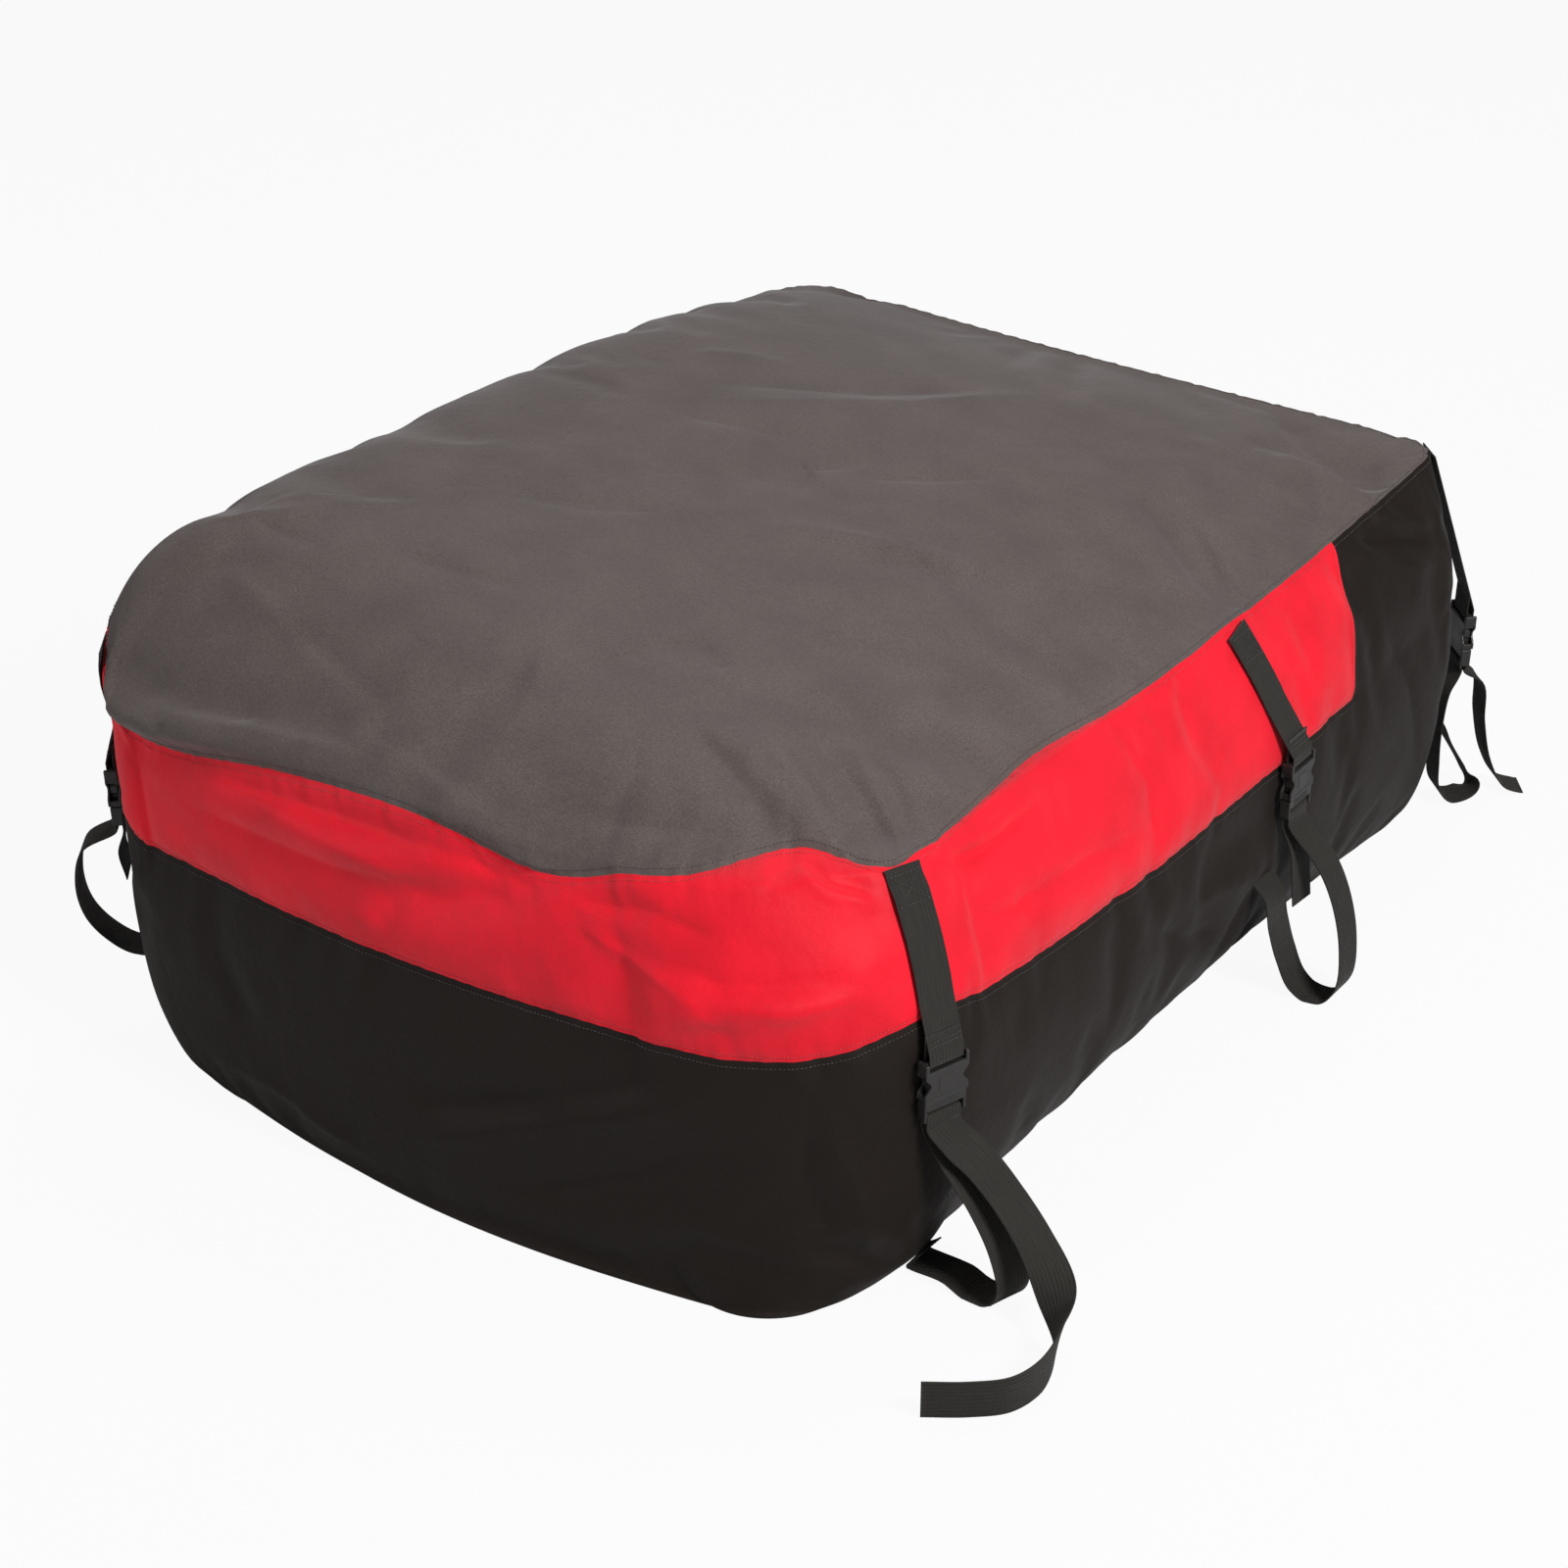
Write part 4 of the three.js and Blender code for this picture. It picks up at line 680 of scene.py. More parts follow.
def settled_moves(points, places):
    """How far each point of a coarse shell moves as its spare cloth wrinkles, without the broad swelling."""
    rows, columns = points.shape[:2]
    faces = grid_faces(rows, columns)
    obj = mesh_object("settling", points, faces, smooth=False)
    pins = obj.vertex_groups.new(name="Sewn")
    held = np.zeros((rows, columns))
    seam = SETTLE_ROWS[0] - 1
    held[seam] = 1.0
    held[seam + SETTLE_ROWS[1]] = 0.5
    held[-3:] = 1.0
    for station in STATIONS.values():
        near = bell(places, station["place"], STATION_HOLD)
        held[seam:seam + SETTLE_ROWS[1] + 4] = np.maximum(held[seam:seam + SETTLE_ROWS[1] + 4], near)
    for index in np.flatnonzero(held.ravel() > 0.02):
        pins.add([int(index)], float(held.ravel()[index]), "REPLACE")
    cloth = obj.modifiers.new("Cloth", "CLOTH")
    rules = cloth.settings
    for key, value in CLOTH_RULES.items():
        setattr(rules, key, value)
    rules.shrink_min = -bpy.context.scene.cargo_bag_sizes.cloth_growth
    rules.effector_weights.gravity = 0.0
    frames = bpy.context.scene.cargo_bag_sizes.settle_frames
    cloth.point_cache.frame_start = 1
    cloth.point_cache.frame_end = frames
    for number in range(1, frames + 1):
        bpy.context.scene.frame_set(number)
    evaluated = obj.evaluated_get(bpy.context.evaluated_depsgraph_get())
    found = np.empty(rows * columns * 3)
    evaluated.data.vertices.foreach_get("co", found)
    bpy.context.scene.frame_set(1)
    bpy.data.objects.remove(obj)
    moves = found.reshape(rows, columns, 3) / MM - points
    moves -= blurred(moves, SWELLING_PASSES)
    far = np.linalg.norm(moves, axis=-1, keepdims=True)
    limit = size("wrinkle_limit")
    return moves * np.minimum(1, limit / np.maximum(far, 1e-9))


def blurred(field, passes):
    """A field over a closed grid, evened out along its columns and rows."""
    for _ in range(passes):
        field = (np.roll(field, 1, 1) + 2 * field + np.roll(field, -1, 1)) / 4
        padded = np.concatenate([field[:1], field, field[-1:]])
        field = (padded[:-2] + 2 * padded[1:-1] + padded[2:]) / 4
    return field


def carried_over(moves, coarse_places, fine_places):
    """Moves of the coarse shell, read at the rows and places of the fine one."""
    rows = []
    start = 0
    for few, many in zip(SETTLE_ROWS, ROWS):
        rows.append(start - 1 + np.arange(1, many + 1) * few / many)
        start += few
    rows = np.clip(np.concatenate(rows), 0, len(moves) - 1)
    low = np.minimum(rows.astype(int), len(moves) - 2)
    part = (rows - low)[:, None, None]
    taken = moves[low] * (1 - part) + moves[low + 1] * part
    order = np.argsort(coarse_places)
    known = coarse_places[order]
    known = np.concatenate([known[-1:] - 8, known, known[:1] + 8])
    fine = np.empty((len(rows), len(fine_places), 3))
    for axis in range(3):
        for r in range(len(rows)):
            values = taken[r, order, axis]
            values = np.concatenate([values[-1:], values, values[:1]])
            fine[r, :, axis] = np.interp(fine_places, known, values)
    return blurred(fine, 2)


# Gathers beside a sewn line: their length, share and phase, their rise and reach, and how the line itself dips.
GATHERS = ((19, 1, 0), (13.7, 0.7, 1.1), (31, 0.6, 0.4))
GATHER_RISE = 0.55
GATHER_REACH = 16
SEAM_DIP = 1.6
SEAM_DIP_REACH = 4
BAND_GATHER_SHARE = 0.6
BAND_GATHER_SHIFT = 7
BAND_LIFT_REACH = 12
CREASE_CLEARANCE = 26
WRINKLE_CLEARANCE = 42


def seam_pucker(distance, along):
    """Small gathers that a sewn line draws in the cloth beside it, 14 to 31 mm from one to the next."""
    wave = sum(share * np.sin(along * 2 * np.pi / span + phase) for span, share, phase in GATHERS)
    dip = SEAM_DIP * np.exp(-((distance / SEAM_DIP_REACH) ** 2))
    return GATHER_RISE * wave * np.exp(-distance / GATHER_REACH) - dip


def dressed_shell():
    """The fine shell with its settled wrinkles, creases and gathered seams, and each point's normal."""
    points, places = shell(PLACES, ROWS)
    coarse, coarse_places = shell(SETTLE_PLACES, SETTLE_ROWS)
    moves = carried_over(settled_moves(coarse, coarse_places), coarse_places, places)
    moves *= web_clearance(points, WRINKLE_CLEARANCE)[..., None]
    points = points + moves
    normals = grid_normals(points)
    seam = ROWS[0] - 1
    edge = seam + ROWS[1]
    steps = np.linalg.norm(np.diff(points, axis=0), axis=-1)
    depth = np.concatenate([np.zeros((1, points.shape[1])), np.cumsum(steps, 0)])
    around = np.linalg.norm(np.diff(points[seam], axis=0, append=points[seam, :1]), axis=-1)
    along = np.concatenate([[0], np.cumsum(around)[:-1]])[None]
    rise = fold_rise(points.reshape(-1, 3), CREASES, normals.reshape(-1, 3)).reshape(points.shape[:2])
    rise = rise * web_clearance(points, CREASE_CLEARANCE)
    from_seam = abs(depth - depth[seam])
    rise += seam_pucker(from_seam, along)
    covered = banded(places)
    from_edge = abs(depth - depth[edge])
    rise += np.where(covered, BAND_GATHER_SHARE * seam_pucker(from_edge, along + BAND_GATHER_SHIFT), 0)
    row = np.arange(len(points))[:, None]
    lift = BAND_LIFT * np.minimum(1, np.minimum(from_seam, from_edge) / BAND_LIFT_REACH)
    rise += np.where(covered & (row > seam) & (row < edge), lift, 0)
    roll = EDGE_ROLL_RISE * np.exp(-(((from_seam - EDGE_ROLL_REACH) / EDGE_ROLL_WIDTH) ** 2))
    rise += np.where(row < seam, roll * bell(places, EDGE_ROLL_PLACE, EDGE_ROLL_SPREAD), 0)
    rise[-2:] = 0
    points = points + normals * rise[..., None]
    points[..., 2] = np.maximum(points[..., 2], 0.0)
    return points, grid_normals(points), places, depth, along[0]


def web_clearance(points, spread):
    """How freely the cloth moves: 0 under a web that lies on it and 1 well away from it."""
    free = np.ones(points.shape[:2])
    for path in WEB_LINES:
        for x, y, z in path:
            near = np.linalg.norm(points - np.array([x, y, z]), axis=-1)
            free = np.minimum(free, 1 - np.exp(-((near / spread) ** 4)))
    return free


def panel(name, points, rows, columns, uv, closed):
    """One panel of the shell, between two rows and over the given columns."""
    part = points[rows[0]:rows[1] + 1][:, columns]
    flat = uv[rows[0]:rows[1] + 1][:, columns]
    faces = grid_faces(part.shape[0], part.shape[1], closed)
    return mesh_object(name, part, faces, uv=flat)


# ---------------------------------------------------------------- straps, from the frame's own routes

STATIONS = {
    "front_right": {"place": 1.8, "lean": -6, "slack": 0, "drop": 158, "seat": 3.1},
    "middle_right": {"place": 2.527, "lean": 32, "slack": 0, "drop": 136, "seat": 0},
    "rear_right": {"place": 3.5, "lean": 2, "slack": 36, "drop": 182, "seat": 0},
    "rear_left": {"place": 5.5, "lean": -2, "slack": 12, "drop": 178, "seat": 0.6},
    "middle_left": {"place": 6.47, "lean": -30, "slack": 0, "drop": 136, "seat": 0},
    "front_left": {"place": 7.39, "lean": -12, "slack": 4, "drop": 104, "seat": 0},
}
WEB_GAP = 0.3
BUCKLE_CLEARANCE = 0.6
REACH_MARGIN = 6
SLOT_LENGTH = 5
BAR_LENGTH = 4
BAR_THICKNESS = 4.6
PLUG_HEAD_LENGTH = 8.4
PLUG_SLOT_LENGTH = 8
RUNNING_GAP = 0.6
PRONG_LENGTH = 24
PRONG_WIDTH = 5.6
SOCKET_WALL = 2.5
WEB_FOLD_BACK = 24
SEWN_LENGTH = 16
HANGING_OFF = 22
FLOOR_GAP = 0.3
STEEPEST = 0.25
SEAM_INSET = 4
BAR_APPROACH = 6
STRAIGHT_LENGTH = 44
WEB_STEPS = 12
WEB_SPACING = 5
WEB_LINES = []


def strap_lengths():
    """Lengths down the buckle and heights over its back that follow from its sizes."""
    head = size("socket_length") + RUNNING_GAP
    slot_start = head + PLUG_HEAD_LENGTH
    end_bar = slot_start + PLUG_SLOT_LENGTH
    low = (size("socket_thickness") - BAR_THICKNESS) / 2
    wrap = WEB_GAP + size("web_thickness") / 2
    return {
        "head": head, "slot": slot_start, "end_bar": end_bar, "end": end_bar + BAR_LENGTH,
        "low": low, "high": low + BAR_THICKNESS, "wrap": wrap, "corner": wrap * math.sqrt(0.5)}


def station_frame(station):
    """A station's point on the seam, its outward and sideways directions, and the seam's height there."""
    out = outward(np.array([station["place"]]))[0]
    seam = outline(SEAM, np.array([station["place"]]))[0]
    return {
        "place": station["place"], "out": out, "along": np.array([-out[1], out[0], 0.0]),
        "seam": np.array([seam[0], seam[1], 0.0]), "height": float(seam_level(seam[None])[2][0])}


def axes_matrix(axes, origin):
    """A matrix from its three axes and its origin in millimetres."""
    matrix = Matrix([[*axis, 0.0] for axis in axes] + [[0, 0, 0, 1]]).transposed()
    matrix.translation = Vector(origin)
    return matrix


def at_station(spot, out, along, height):
    """A point by its distances out from and along the wall, and its height."""
    point = spot["seam"] + spot["out"] * out + spot["along"] * along
    return np.array([point[0], point[1], height])


def reach(spot, along, heights):
    """How far out the bag reaches beside a station, at distances along it and heights."""
    along, heights = np.broadcast_arrays(np.asarray(along, float), np.asarray(heights, float))
    places = np.full(along.shape, float(spot["place"]))
    shares = 1 - heights / spot["height"]
    for _ in range(12):
        point = wall(places, shares)
        step = ((wall(places + 0.01, shares) - point) @ spot["along"]) / 0.01
        miss = along - (point - spot["seam"]) @ spot["along"]
        places = places + np.clip(miss / np.maximum(step, 60), -0.2, 0.2)
        shares = np.clip(shares + (point[..., 2] - heights) / spot["height"], 0, 1)
    return (wall(places, shares) - spot["seam"]) @ spot["out"]


def strip_reach(spot, along, height, width):
    """How far out a strip of the given width lies on the bag at a height."""
    across = np.array([-0.5, -0.25, 0, 0.25, 0.5])[:, None] * width
    heights = np.minimum(height + np.array([REACH_MARGIN, 0, -REACH_MARGIN])[None], spot["height"] - 2)
    covered = banded(spot["place"]) and height > spot["height"] * (1 - BAND_SHARE) - BAND_MARGIN
    return float(reach(spot, along + across, heights).max()) + (SKIN if covered else 0)


def strip_lie(spot, along, height, width):
    """How far out the middle of a strip lies on the bag at a height, and the level direction across it."""
    across = np.array([-0.5, -0.25, 0, 0.25, 0.5]) * width
    reaches = np.array([strip_reach(spot, along + a, height, 0) for a in across])
    slope = (reaches[-1] - reaches[0]) / width
    side = spot["along"] + spot["out"] * slope
    return float((reaches - slope * across).max()), side / np.linalg.norm(side)


def buckle_frame(station):
    """Where a station's buckle lies: its matrix, and the frame of its station."""
    spot = station_frame(station)
    total = strap_lengths()["end"]
    high = size("seam_height") - station["drop"]
    width = size("socket_width")
    lean = station["lean"]
    reaches = [strip_reach(spot, lean, high - total * k / 8, width) for k in range(9)]
    tilt = math.atan(min(STEEPEST, max(-STEEPEST, (reaches[8] - reaches[0]) / total)))
    start = max(r - math.tan(tilt) * total * k / 8 for k, r in enumerate(reaches))
    start += BUCKLE_CLEARANCE + station["slack"]
    origin = at_station(spot, start, lean, high)
    down = spot["out"] * math.sin(tilt) + np.array([0, 0, -math.cos(tilt)])
    side = spot["along"].copy()
    face = np.cross(side, down)
    if face @ spot["out"] < 0:
        side, face = -side, -face
    matrix = axes_matrix((side, down, face), origin)
    return {"spot": spot, "matrix": matrix, "side": side, "hang": start, "station": station}


def in_buckle(buckle, length_down, height):
    """A point of the buckle's middle plane."""
    return np.array(buckle["matrix"] @ Vector((0, length_down, height)))


def bar_wrap(buckle, edge, away):
    """The web's way round a bar, from the face side round the bar's edge to the back."""
    s = strap_lengths()
    sign = math.copysign(1, away)
    rows = [
        (edge + away, s["high"] + s["wrap"]), (edge, s["high"] + s["wrap"]),
        (edge - sign * s["corner"], s["high"] + s["corner"]), (edge - sign * s["wrap"], s["high"]),
        (edge - sign * s["wrap"], s["low"]), (edge - sign * s["corner"], s["low"] - s["corner"]),
        (edge, s["low"] - s["wrap"]), (edge + away, s["low"] - s["wrap"])]
    return [in_buckle(buckle, y, z) for y, z in rows]


def top_web_path(buckle):
    """The upper web's way: down from the seam, round the socket's bar and back on itself."""
    spot, lean = buckle["spot"], buckle["station"]["lean"]
    s = strap_lengths()
    bar = in_buckle(buckle, -BAR_APPROACH, s["high"] + s["wrap"])
    start = spot["height"] - SEAM_INSET
    points = []
    for k in range(WEB_STEPS):
        height = start + (bar[2] + STRAIGHT_LENGTH - start) * k / (WEB_STEPS - 1)
        sideways = lean * (start - height) / (start - bar[2])
        lift = s["wrap"] - (buckle["station"]["seat"] if k < 2 else 0)
        points.append(at_station(spot, strip_reach(spot, sideways, height, size("web_width")) + lift, sideways, height))
    if (bar - points[-1]) @ spot["out"] > HANGING_OFF:
        first = points[0]
        for k, point in enumerate(points):
            straight = first + (bar - first) * (first[2] - point[2]) / (first[2] - bar[2])
            if (straight - point) @ spot["out"] > 0:
                points[k] = straight
    points.append((points[-1] + bar) / 2)
    stops = (-BAR_APPROACH, -WEB_FOLD_BACK / 2, -WEB_FOLD_BACK)
    back = [in_buckle(buckle, y, s["low"] - s["wrap"]) for y in stops]
    return [*points, bar], [*bar_wrap(buckle, BAR_LENGTH, -BAR_LENGTH), *back]


def catmull(points, per_stop):
    """A centripetal curve through points, with as many steps from each to the next."""
    points = [np.asarray(p, float) for p in points]
    full = [2 * points[0] - points[1], *points, 2 * points[-1] - points[-2]]
    made = []
    for k in range(len(points) - 1):
        p0, p1, p2, p3 = full[k:k + 4]
        middle = max(np.linalg.norm(p2 - p1) ** 0.5, 1e-4)
        before = max(np.linalg.norm(p1 - p0) ** 0.5, 1e-4)
        after = max(np.linalg.norm(p3 - p2) ** 0.5, 1e-4)
        t1 = ((p1 - p0) / before - (p2 - p0) / (before + middle) + (p2 - p1) / middle) * middle
        t2 = ((p2 - p1) / middle - (p3 - p1) / (middle + after) + (p3 - p2) / after) * middle
        for i in range(per_stop + (k == len(points) - 2)):
            t = i / per_stop
            made.append(p1 + t1 * t + (3 * (p2 - p1) - 2 * t1 - t2) * t ** 2 + (2 * (p1 - p2) + t1 + t2) * t ** 3)
    return np.array(made)


def smooth_web(stops, per_stop):
    """A smooth way through stops of (point, direction across), kept clear of the floor."""
    points = catmull([p for p, _ in stops], per_stop)
    tangents = np.gradient(points, axis=0)
    tangents /= np.maximum(np.linalg.norm(tangents, axis=1, keepdims=True), 1e-9)
    sides = []
    for i, (point, tangent) in enumerate(zip(points, tangents)):
        k = min(i // per_stop, len(stops) - 2)
        share = i / per_stop - k
        side = stops[k][1] * (1 - share) + stops[k + 1][1] * share
        side = side - tangent * (side @ tangent)
        side /= np.linalg.norm(side)
        face = np.cross(side, tangent)
        half = (abs(side[2]) * size("web_width") + abs(face[2]) * size("web_thickness")) / 2
        point[2] = max(point[2], half + FLOOR_GAP)
        sides.append(side)
    return list(points), sides


# Heights of a web's middle that lies flat on the floor, or stands on its edge there.
FLOOR = 1.2
ON_EDGE = 19.3

# A web's stops: distance out from the buckle's seat, along the wall, height, and its turn off level in degrees.
FLOOR_SLACK = (
    (16, 8, 8), (40, 14, FLOOR), (62, 21, FLOOR + 1), (73, 24, 20), (64, 22, 58), (42, 14, 100), (18, 2, 138))
LONG_TAIL = (
    (20, 0, 158), (34, 14, 138), (58, 27, 108), (90, 35, 72, 10), (122, 30, 46, 38), (154, 8, 28, 72),
    (180, -34, ON_EDGE, 90), (184, -72, ON_EDGE, 90), (168, -104, ON_EDGE, 90), (143, -137, ON_EDGE, 90))
HANGING_LOOP = (
    (10, -8, 128), (12, 4, 88), (16, 18, 48), (26, 28, 14), (42, 32, FLOOR), (60, 34, 4), (73, 38, 24),
    (72, 42, 66), (60, 44, 112), (42, 42, 150))
HANGING_TAIL = ((14, 34, 164), (18, 34, 132), (22, 32, 104))
CROSSED_LOOP = (
    (-14, 12, 88), (2, 0, 56), (17, -14, 28), (22, -26, 13), (11, -33, 7), (-9, -37, 7), (-25, -40, 26), (-28, -38, 60),
    (-26, -31, 96), (-16, -14, 126))
SPREAD_TAIL = ((28, -6, 134), (32, -10, 90), (42, -15, 42), (60, -20, 10), (84, -24, FLOOR))
CORNER_LOOP = (
    (-8, 0, 84), (-8, -16, 44), (0, -30, 12), (16, -36, FLOOR), (38, -36, 6), (53, -32, 32), (54, -24, 72),
    (44, -12, 112))
CORNER_TAIL = ((24, 2, 128), (28, -4, 94), (32, -10, 58))
SIDE_LOOP = ((1, -12, 88), (26, -6, 108), (45, -5, 135), (51, -5, 172), (42, -9, 206))
SIDE_TAIL = ((8, -16, 200), (4, -20, 170))

# Of each free web: its sewn end, loop and tail, whether it comes to the bar from behind, and the side it lies to.
TIES = {
    "front_right": ((0, 20), FLOOR_SLACK, LONG_TAIL, True, 1),
    "middle_right": ((-14, 166), HANGING_LOOP, HANGING_TAIL, False, 1),
    "rear_right": ((16, 128), CROSSED_LOOP, SPREAD_TAIL, True, 1),
    "rear_left": ((-4, 128), CORNER_LOOP, CORNER_TAIL, False, -1),
    "middle_left": ((14, 166), HANGING_LOOP, HANGING_TAIL, False, -1),
    "front_left": ((-14, 104), SIDE_LOOP, SIDE_TAIL, False, 1),
}
LEAD = 9
LEAD_LIFT = 0.6
STEPS_PER_STOP = 8


def tie_web_path(buckle, tie):
    """The free web's way: sewn to the wall, through its loop, round the plug's end bar, to its tail's end."""
    spot = buckle["spot"]
    (anchor_along, anchor_height), loop, tail, from_behind, mirror = tie
    s = strap_lengths()
    flat = spot["along"]

    def stops(rows):
        made = []
        for out, along, height, *turn in rows:
            angle = math.radians(turn[0] if turn else 0)
            side = flat * math.cos(angle) + np.array([0, 0, math.sin(angle)])
            made.append((at_station(spot, buckle["hang"] + out, mirror * along, height), side))
        return made

    sewn = []
    for drop in (0, SEWN_LENGTH):
        height = anchor_height - drop
        out, side = strip_lie(spot, anchor_along, height, size("web_width"))
        sewn.append((at_station(spot, out + s["wrap"], anchor_along, height), side))
    leave = (in_buckle(buckle, s["end"] + LEAD, s["high"] + s["wrap"] + LEAD_LIFT), flat)
    arrive = (in_buckle(buckle, s["end"] + LEAD, s["low"] - s["wrap"]), flat)
    before, after = (arrive, leave) if from_behind else (leave, arrive)
    wrap = [(p, flat) for p in bar_wrap(buckle, s["end_bar"], BAR_LENGTH)]
    if from_behind:
        wrap.reverse()
    up = smooth_web([*sewn, *stops(loop), before, wrap[0]], STEPS_PER_STOP)
    down = smooth_web([wrap[-1], after, *stops(tail)], STEPS_PER_STOP)
    points = up[0] + [p for p, _ in wrap[1:-1]] + down[0]
    sides = up[1] + [side for _, side in wrap[1:-1]] + down[1]
    return np.array(points), np.array(sides)


RIBS = 10
RIM_WIDTH = 0.9


def web_section():
    """Half of a ribbed web's section, from edge to edge: distances across and over its middle."""
    thick = size("web_thickness") / 2
    flat = size("web_width") / 2 - RIM_WIDTH
    x = np.linspace(-flat, flat, RIBS * 4 + 1)
    y = thick - size("rib_depth") * (0.5 - 0.5 * np.cos(np.linspace(0, RIBS * 2 * np.pi, len(x))))
    rim_x = flat + RIM_WIDTH * np.sin(np.array([0.45, 0.85, 1.0]) * np.pi / 2)
    rim_y = thick * np.cos(np.array([0.45, 0.85, 0.985]) * np.pi / 2)
    x = np.concatenate([-rim_x[::-1], x, rim_x])
    y = np.concatenate([rim_y[::-1], y, rim_y])
    return x, y


def ribbed_web(name, points, sides):
    """A ribbed webbing ribbon along points, with the direction across it at each."""
    points, sides = np.asarray(points, float), np.asarray(sides, float)
    keep = np.concatenate([[True], np.linalg.norm(np.diff(points, axis=0), axis=1) > 0.05])
    points, sides = points[keep], sides[keep]
    tangents = np.gradient(points, axis=0)
    tangents /= np.linalg.norm(tangents, axis=1, keepdims=True)
    sides = sides - tangents * np.sum(sides * tangents, 1, keepdims=True)
    sides /= np.linalg.norm(sides, axis=1, keepdims=True)
    faces_out = np.cross(sides, tangents)
    x, y = web_section()
    ring = np.concatenate([np.stack([x, y], 1), np.stack([x[::-1], -y[::-1]], 1)])
    body = points[:, None] + sides[:, None] * ring[None, :, :1] + faces_out[:, None] * ring[None, :, 1:]
    n = len(ring)
    quads = grid_faces(len(points), n)
    run = np.concatenate([[0], np.cumsum(np.linalg.norm(np.diff(points, axis=0), axis=1))])
    uv = np.stack(np.broadcast_arrays(ring[None, :, 0] + 60, run[:, None]), -1)
    first, last = list(range(n))[::-1], [len(points) * n - n + k for k in range(n)]
    return turned_out(mesh_object(name, body, [*quads.tolist(), first, last], uv=uv))


def turned_out(obj):
    """A closed mesh object with its faces outwards: they are turned where the volume comes out below 0."""
    mesh = obj.data
    mesh.calc_loop_triangles()
    corners = np.empty(len(mesh.loop_triangles) * 3, int)
    mesh.loop_triangles.foreach_get("vertices", corners)
    co = np.empty(len(mesh.vertices) * 3)
    mesh.vertices.foreach_get("co", co)
    a, b, c = co.reshape(-1, 3)[corners.reshape(-1, 3)].transpose(1, 0, 2)
    if np.sum(a * np.cross(b, c)) < 0:
        mesh.flip_normals()
    return obj


def finer(points, spacing):
    """A way through points with more of them, at most the given distance apart."""
    made = [points[0]]
    for a, b in zip(points[:-1], points[1:]):
        count = max(1, int(np.ceil(np.linalg.norm(b - a) / spacing)))
        made += [a + (b - a) * k / count for k in range(1, count + 1)]
    return np.array(made)


# ---------------------------------------------------------------- geometry nodes


def node_tree(name, inputs):
    """A geometry node tree with named inputs, and its first and last nodes."""
    tree = bpy.data.node_groups.new(name, "GeometryNodeTree")
    tree.interface.new_socket("Geometry", in_out="INPUT", socket_type="NodeSocketGeometry")
    for title, kind, value in inputs:
        socket = tree.interface.new_socket(title, in_out="INPUT", socket_type=kind)
        if value is not None:
            socket.default_value = value
    tree.interface.new_socket("Geometry", in_out="OUTPUT", socket_type="NodeSocketGeometry")
    return tree, tree.nodes.new("NodeGroupInput"), tree.nodes.new("NodeGroupOutput")


def rod_tree(name, across):
    """Short round-ended rods set along lines: stitches along them, or teeth across them."""
    tree, start, end = node_tree(name, [
        ("Pitch", "NodeSocketFloat", 0.004), ("Length", "NodeSocketFloat", 0.003),
        ("Width", "NodeSocketFloat", 0.0008), ("Material", "NodeSocketMaterial", None)])
    half, long = (
        add(tree, "ShaderNodeMath", {0: start.outputs[title], 1: 0.5}, operation="MULTIPLY")
        for title in ("Width", "Length"))
    ball = add(tree, "GeometryNodeMeshUVSphere", {"Segments": 6, "Rings": 4, "Radius": 1.0})
    scale = add(tree, "ShaderNodeCombineXYZ", {0: long, 1: half, 2: half})
    line = add(tree, "GeometryNodeMeshToCurve", {0: start.outputs["Geometry"]})
    even = add(tree, "GeometryNodeResampleCurve", {"Curve": line, "Length": start.outputs["Pitch"]}, mode="LENGTH")
    tangent = add(tree, "GeometryNodeInputTangent")
    turn = add(tree, "FunctionNodeAlignRotationToVector", {"Vector": tangent}, axis="Y" if across else "X")
    set_out = add(tree, "GeometryNodeInstanceOnPoints", {
        "Points": even, "Instance": ball, "Rotation": turn, "Scale": scale})
    real = add(tree, "GeometryNodeRealizeInstances", {0: set_out})
    shade = add(tree, "GeometryNodeSetShadeSmooth", {0: real})
    done = add(tree, "GeometryNodeSetMaterial", {"Geometry": shade, "Material": start.outputs["Material"]})
    tree.links.new(done.outputs[0], end.inputs[0])
    return tree


def rods(name, lines, pitch, rod_length, width, finish_name, across=False):
    """An object of rods along lines of points in millimetres."""
    title = "Teeth" if across else "Stitches"
    tree = bpy.data.node_groups.get(title) or rod_tree(title, across)
    points, edges = [], []
    for line in lines:
        base = len(points)
        points += (np.asarray(line) * MM).tolist()
        edges += [(base + k, base + k + 1) for k in range(len(line) - 1)]
    mesh = bpy.data.meshes.new(name)
    mesh.from_pydata(points, edges, [])
    obj = bpy.data.objects.new(name, mesh)
    bpy.context.scene.collection.objects.link(obj)
    rule = obj.modifiers.new("Rods", "NODES")
    rule.node_group = tree
    values = {"Pitch": pitch * MM, "Length": rod_length * MM, "Width": width * MM, "Material": material(finish_name)}
    for socket in tree.interface.items_tree:
        if socket.in_out == "INPUT" and socket.name in values:
            rule[socket.identifier] = values[socket.name]
    return solid_mesh(obj)


def stitches(name, lines, finish_name="Polyester thread, dark"):
    """Rows of stitches along lines."""
    return rods(name, lines, size("stitch_pitch"), size("stitch_length"), size("thread_width"), finish_name)


# ---------------------------------------------------------------- moulded pieces


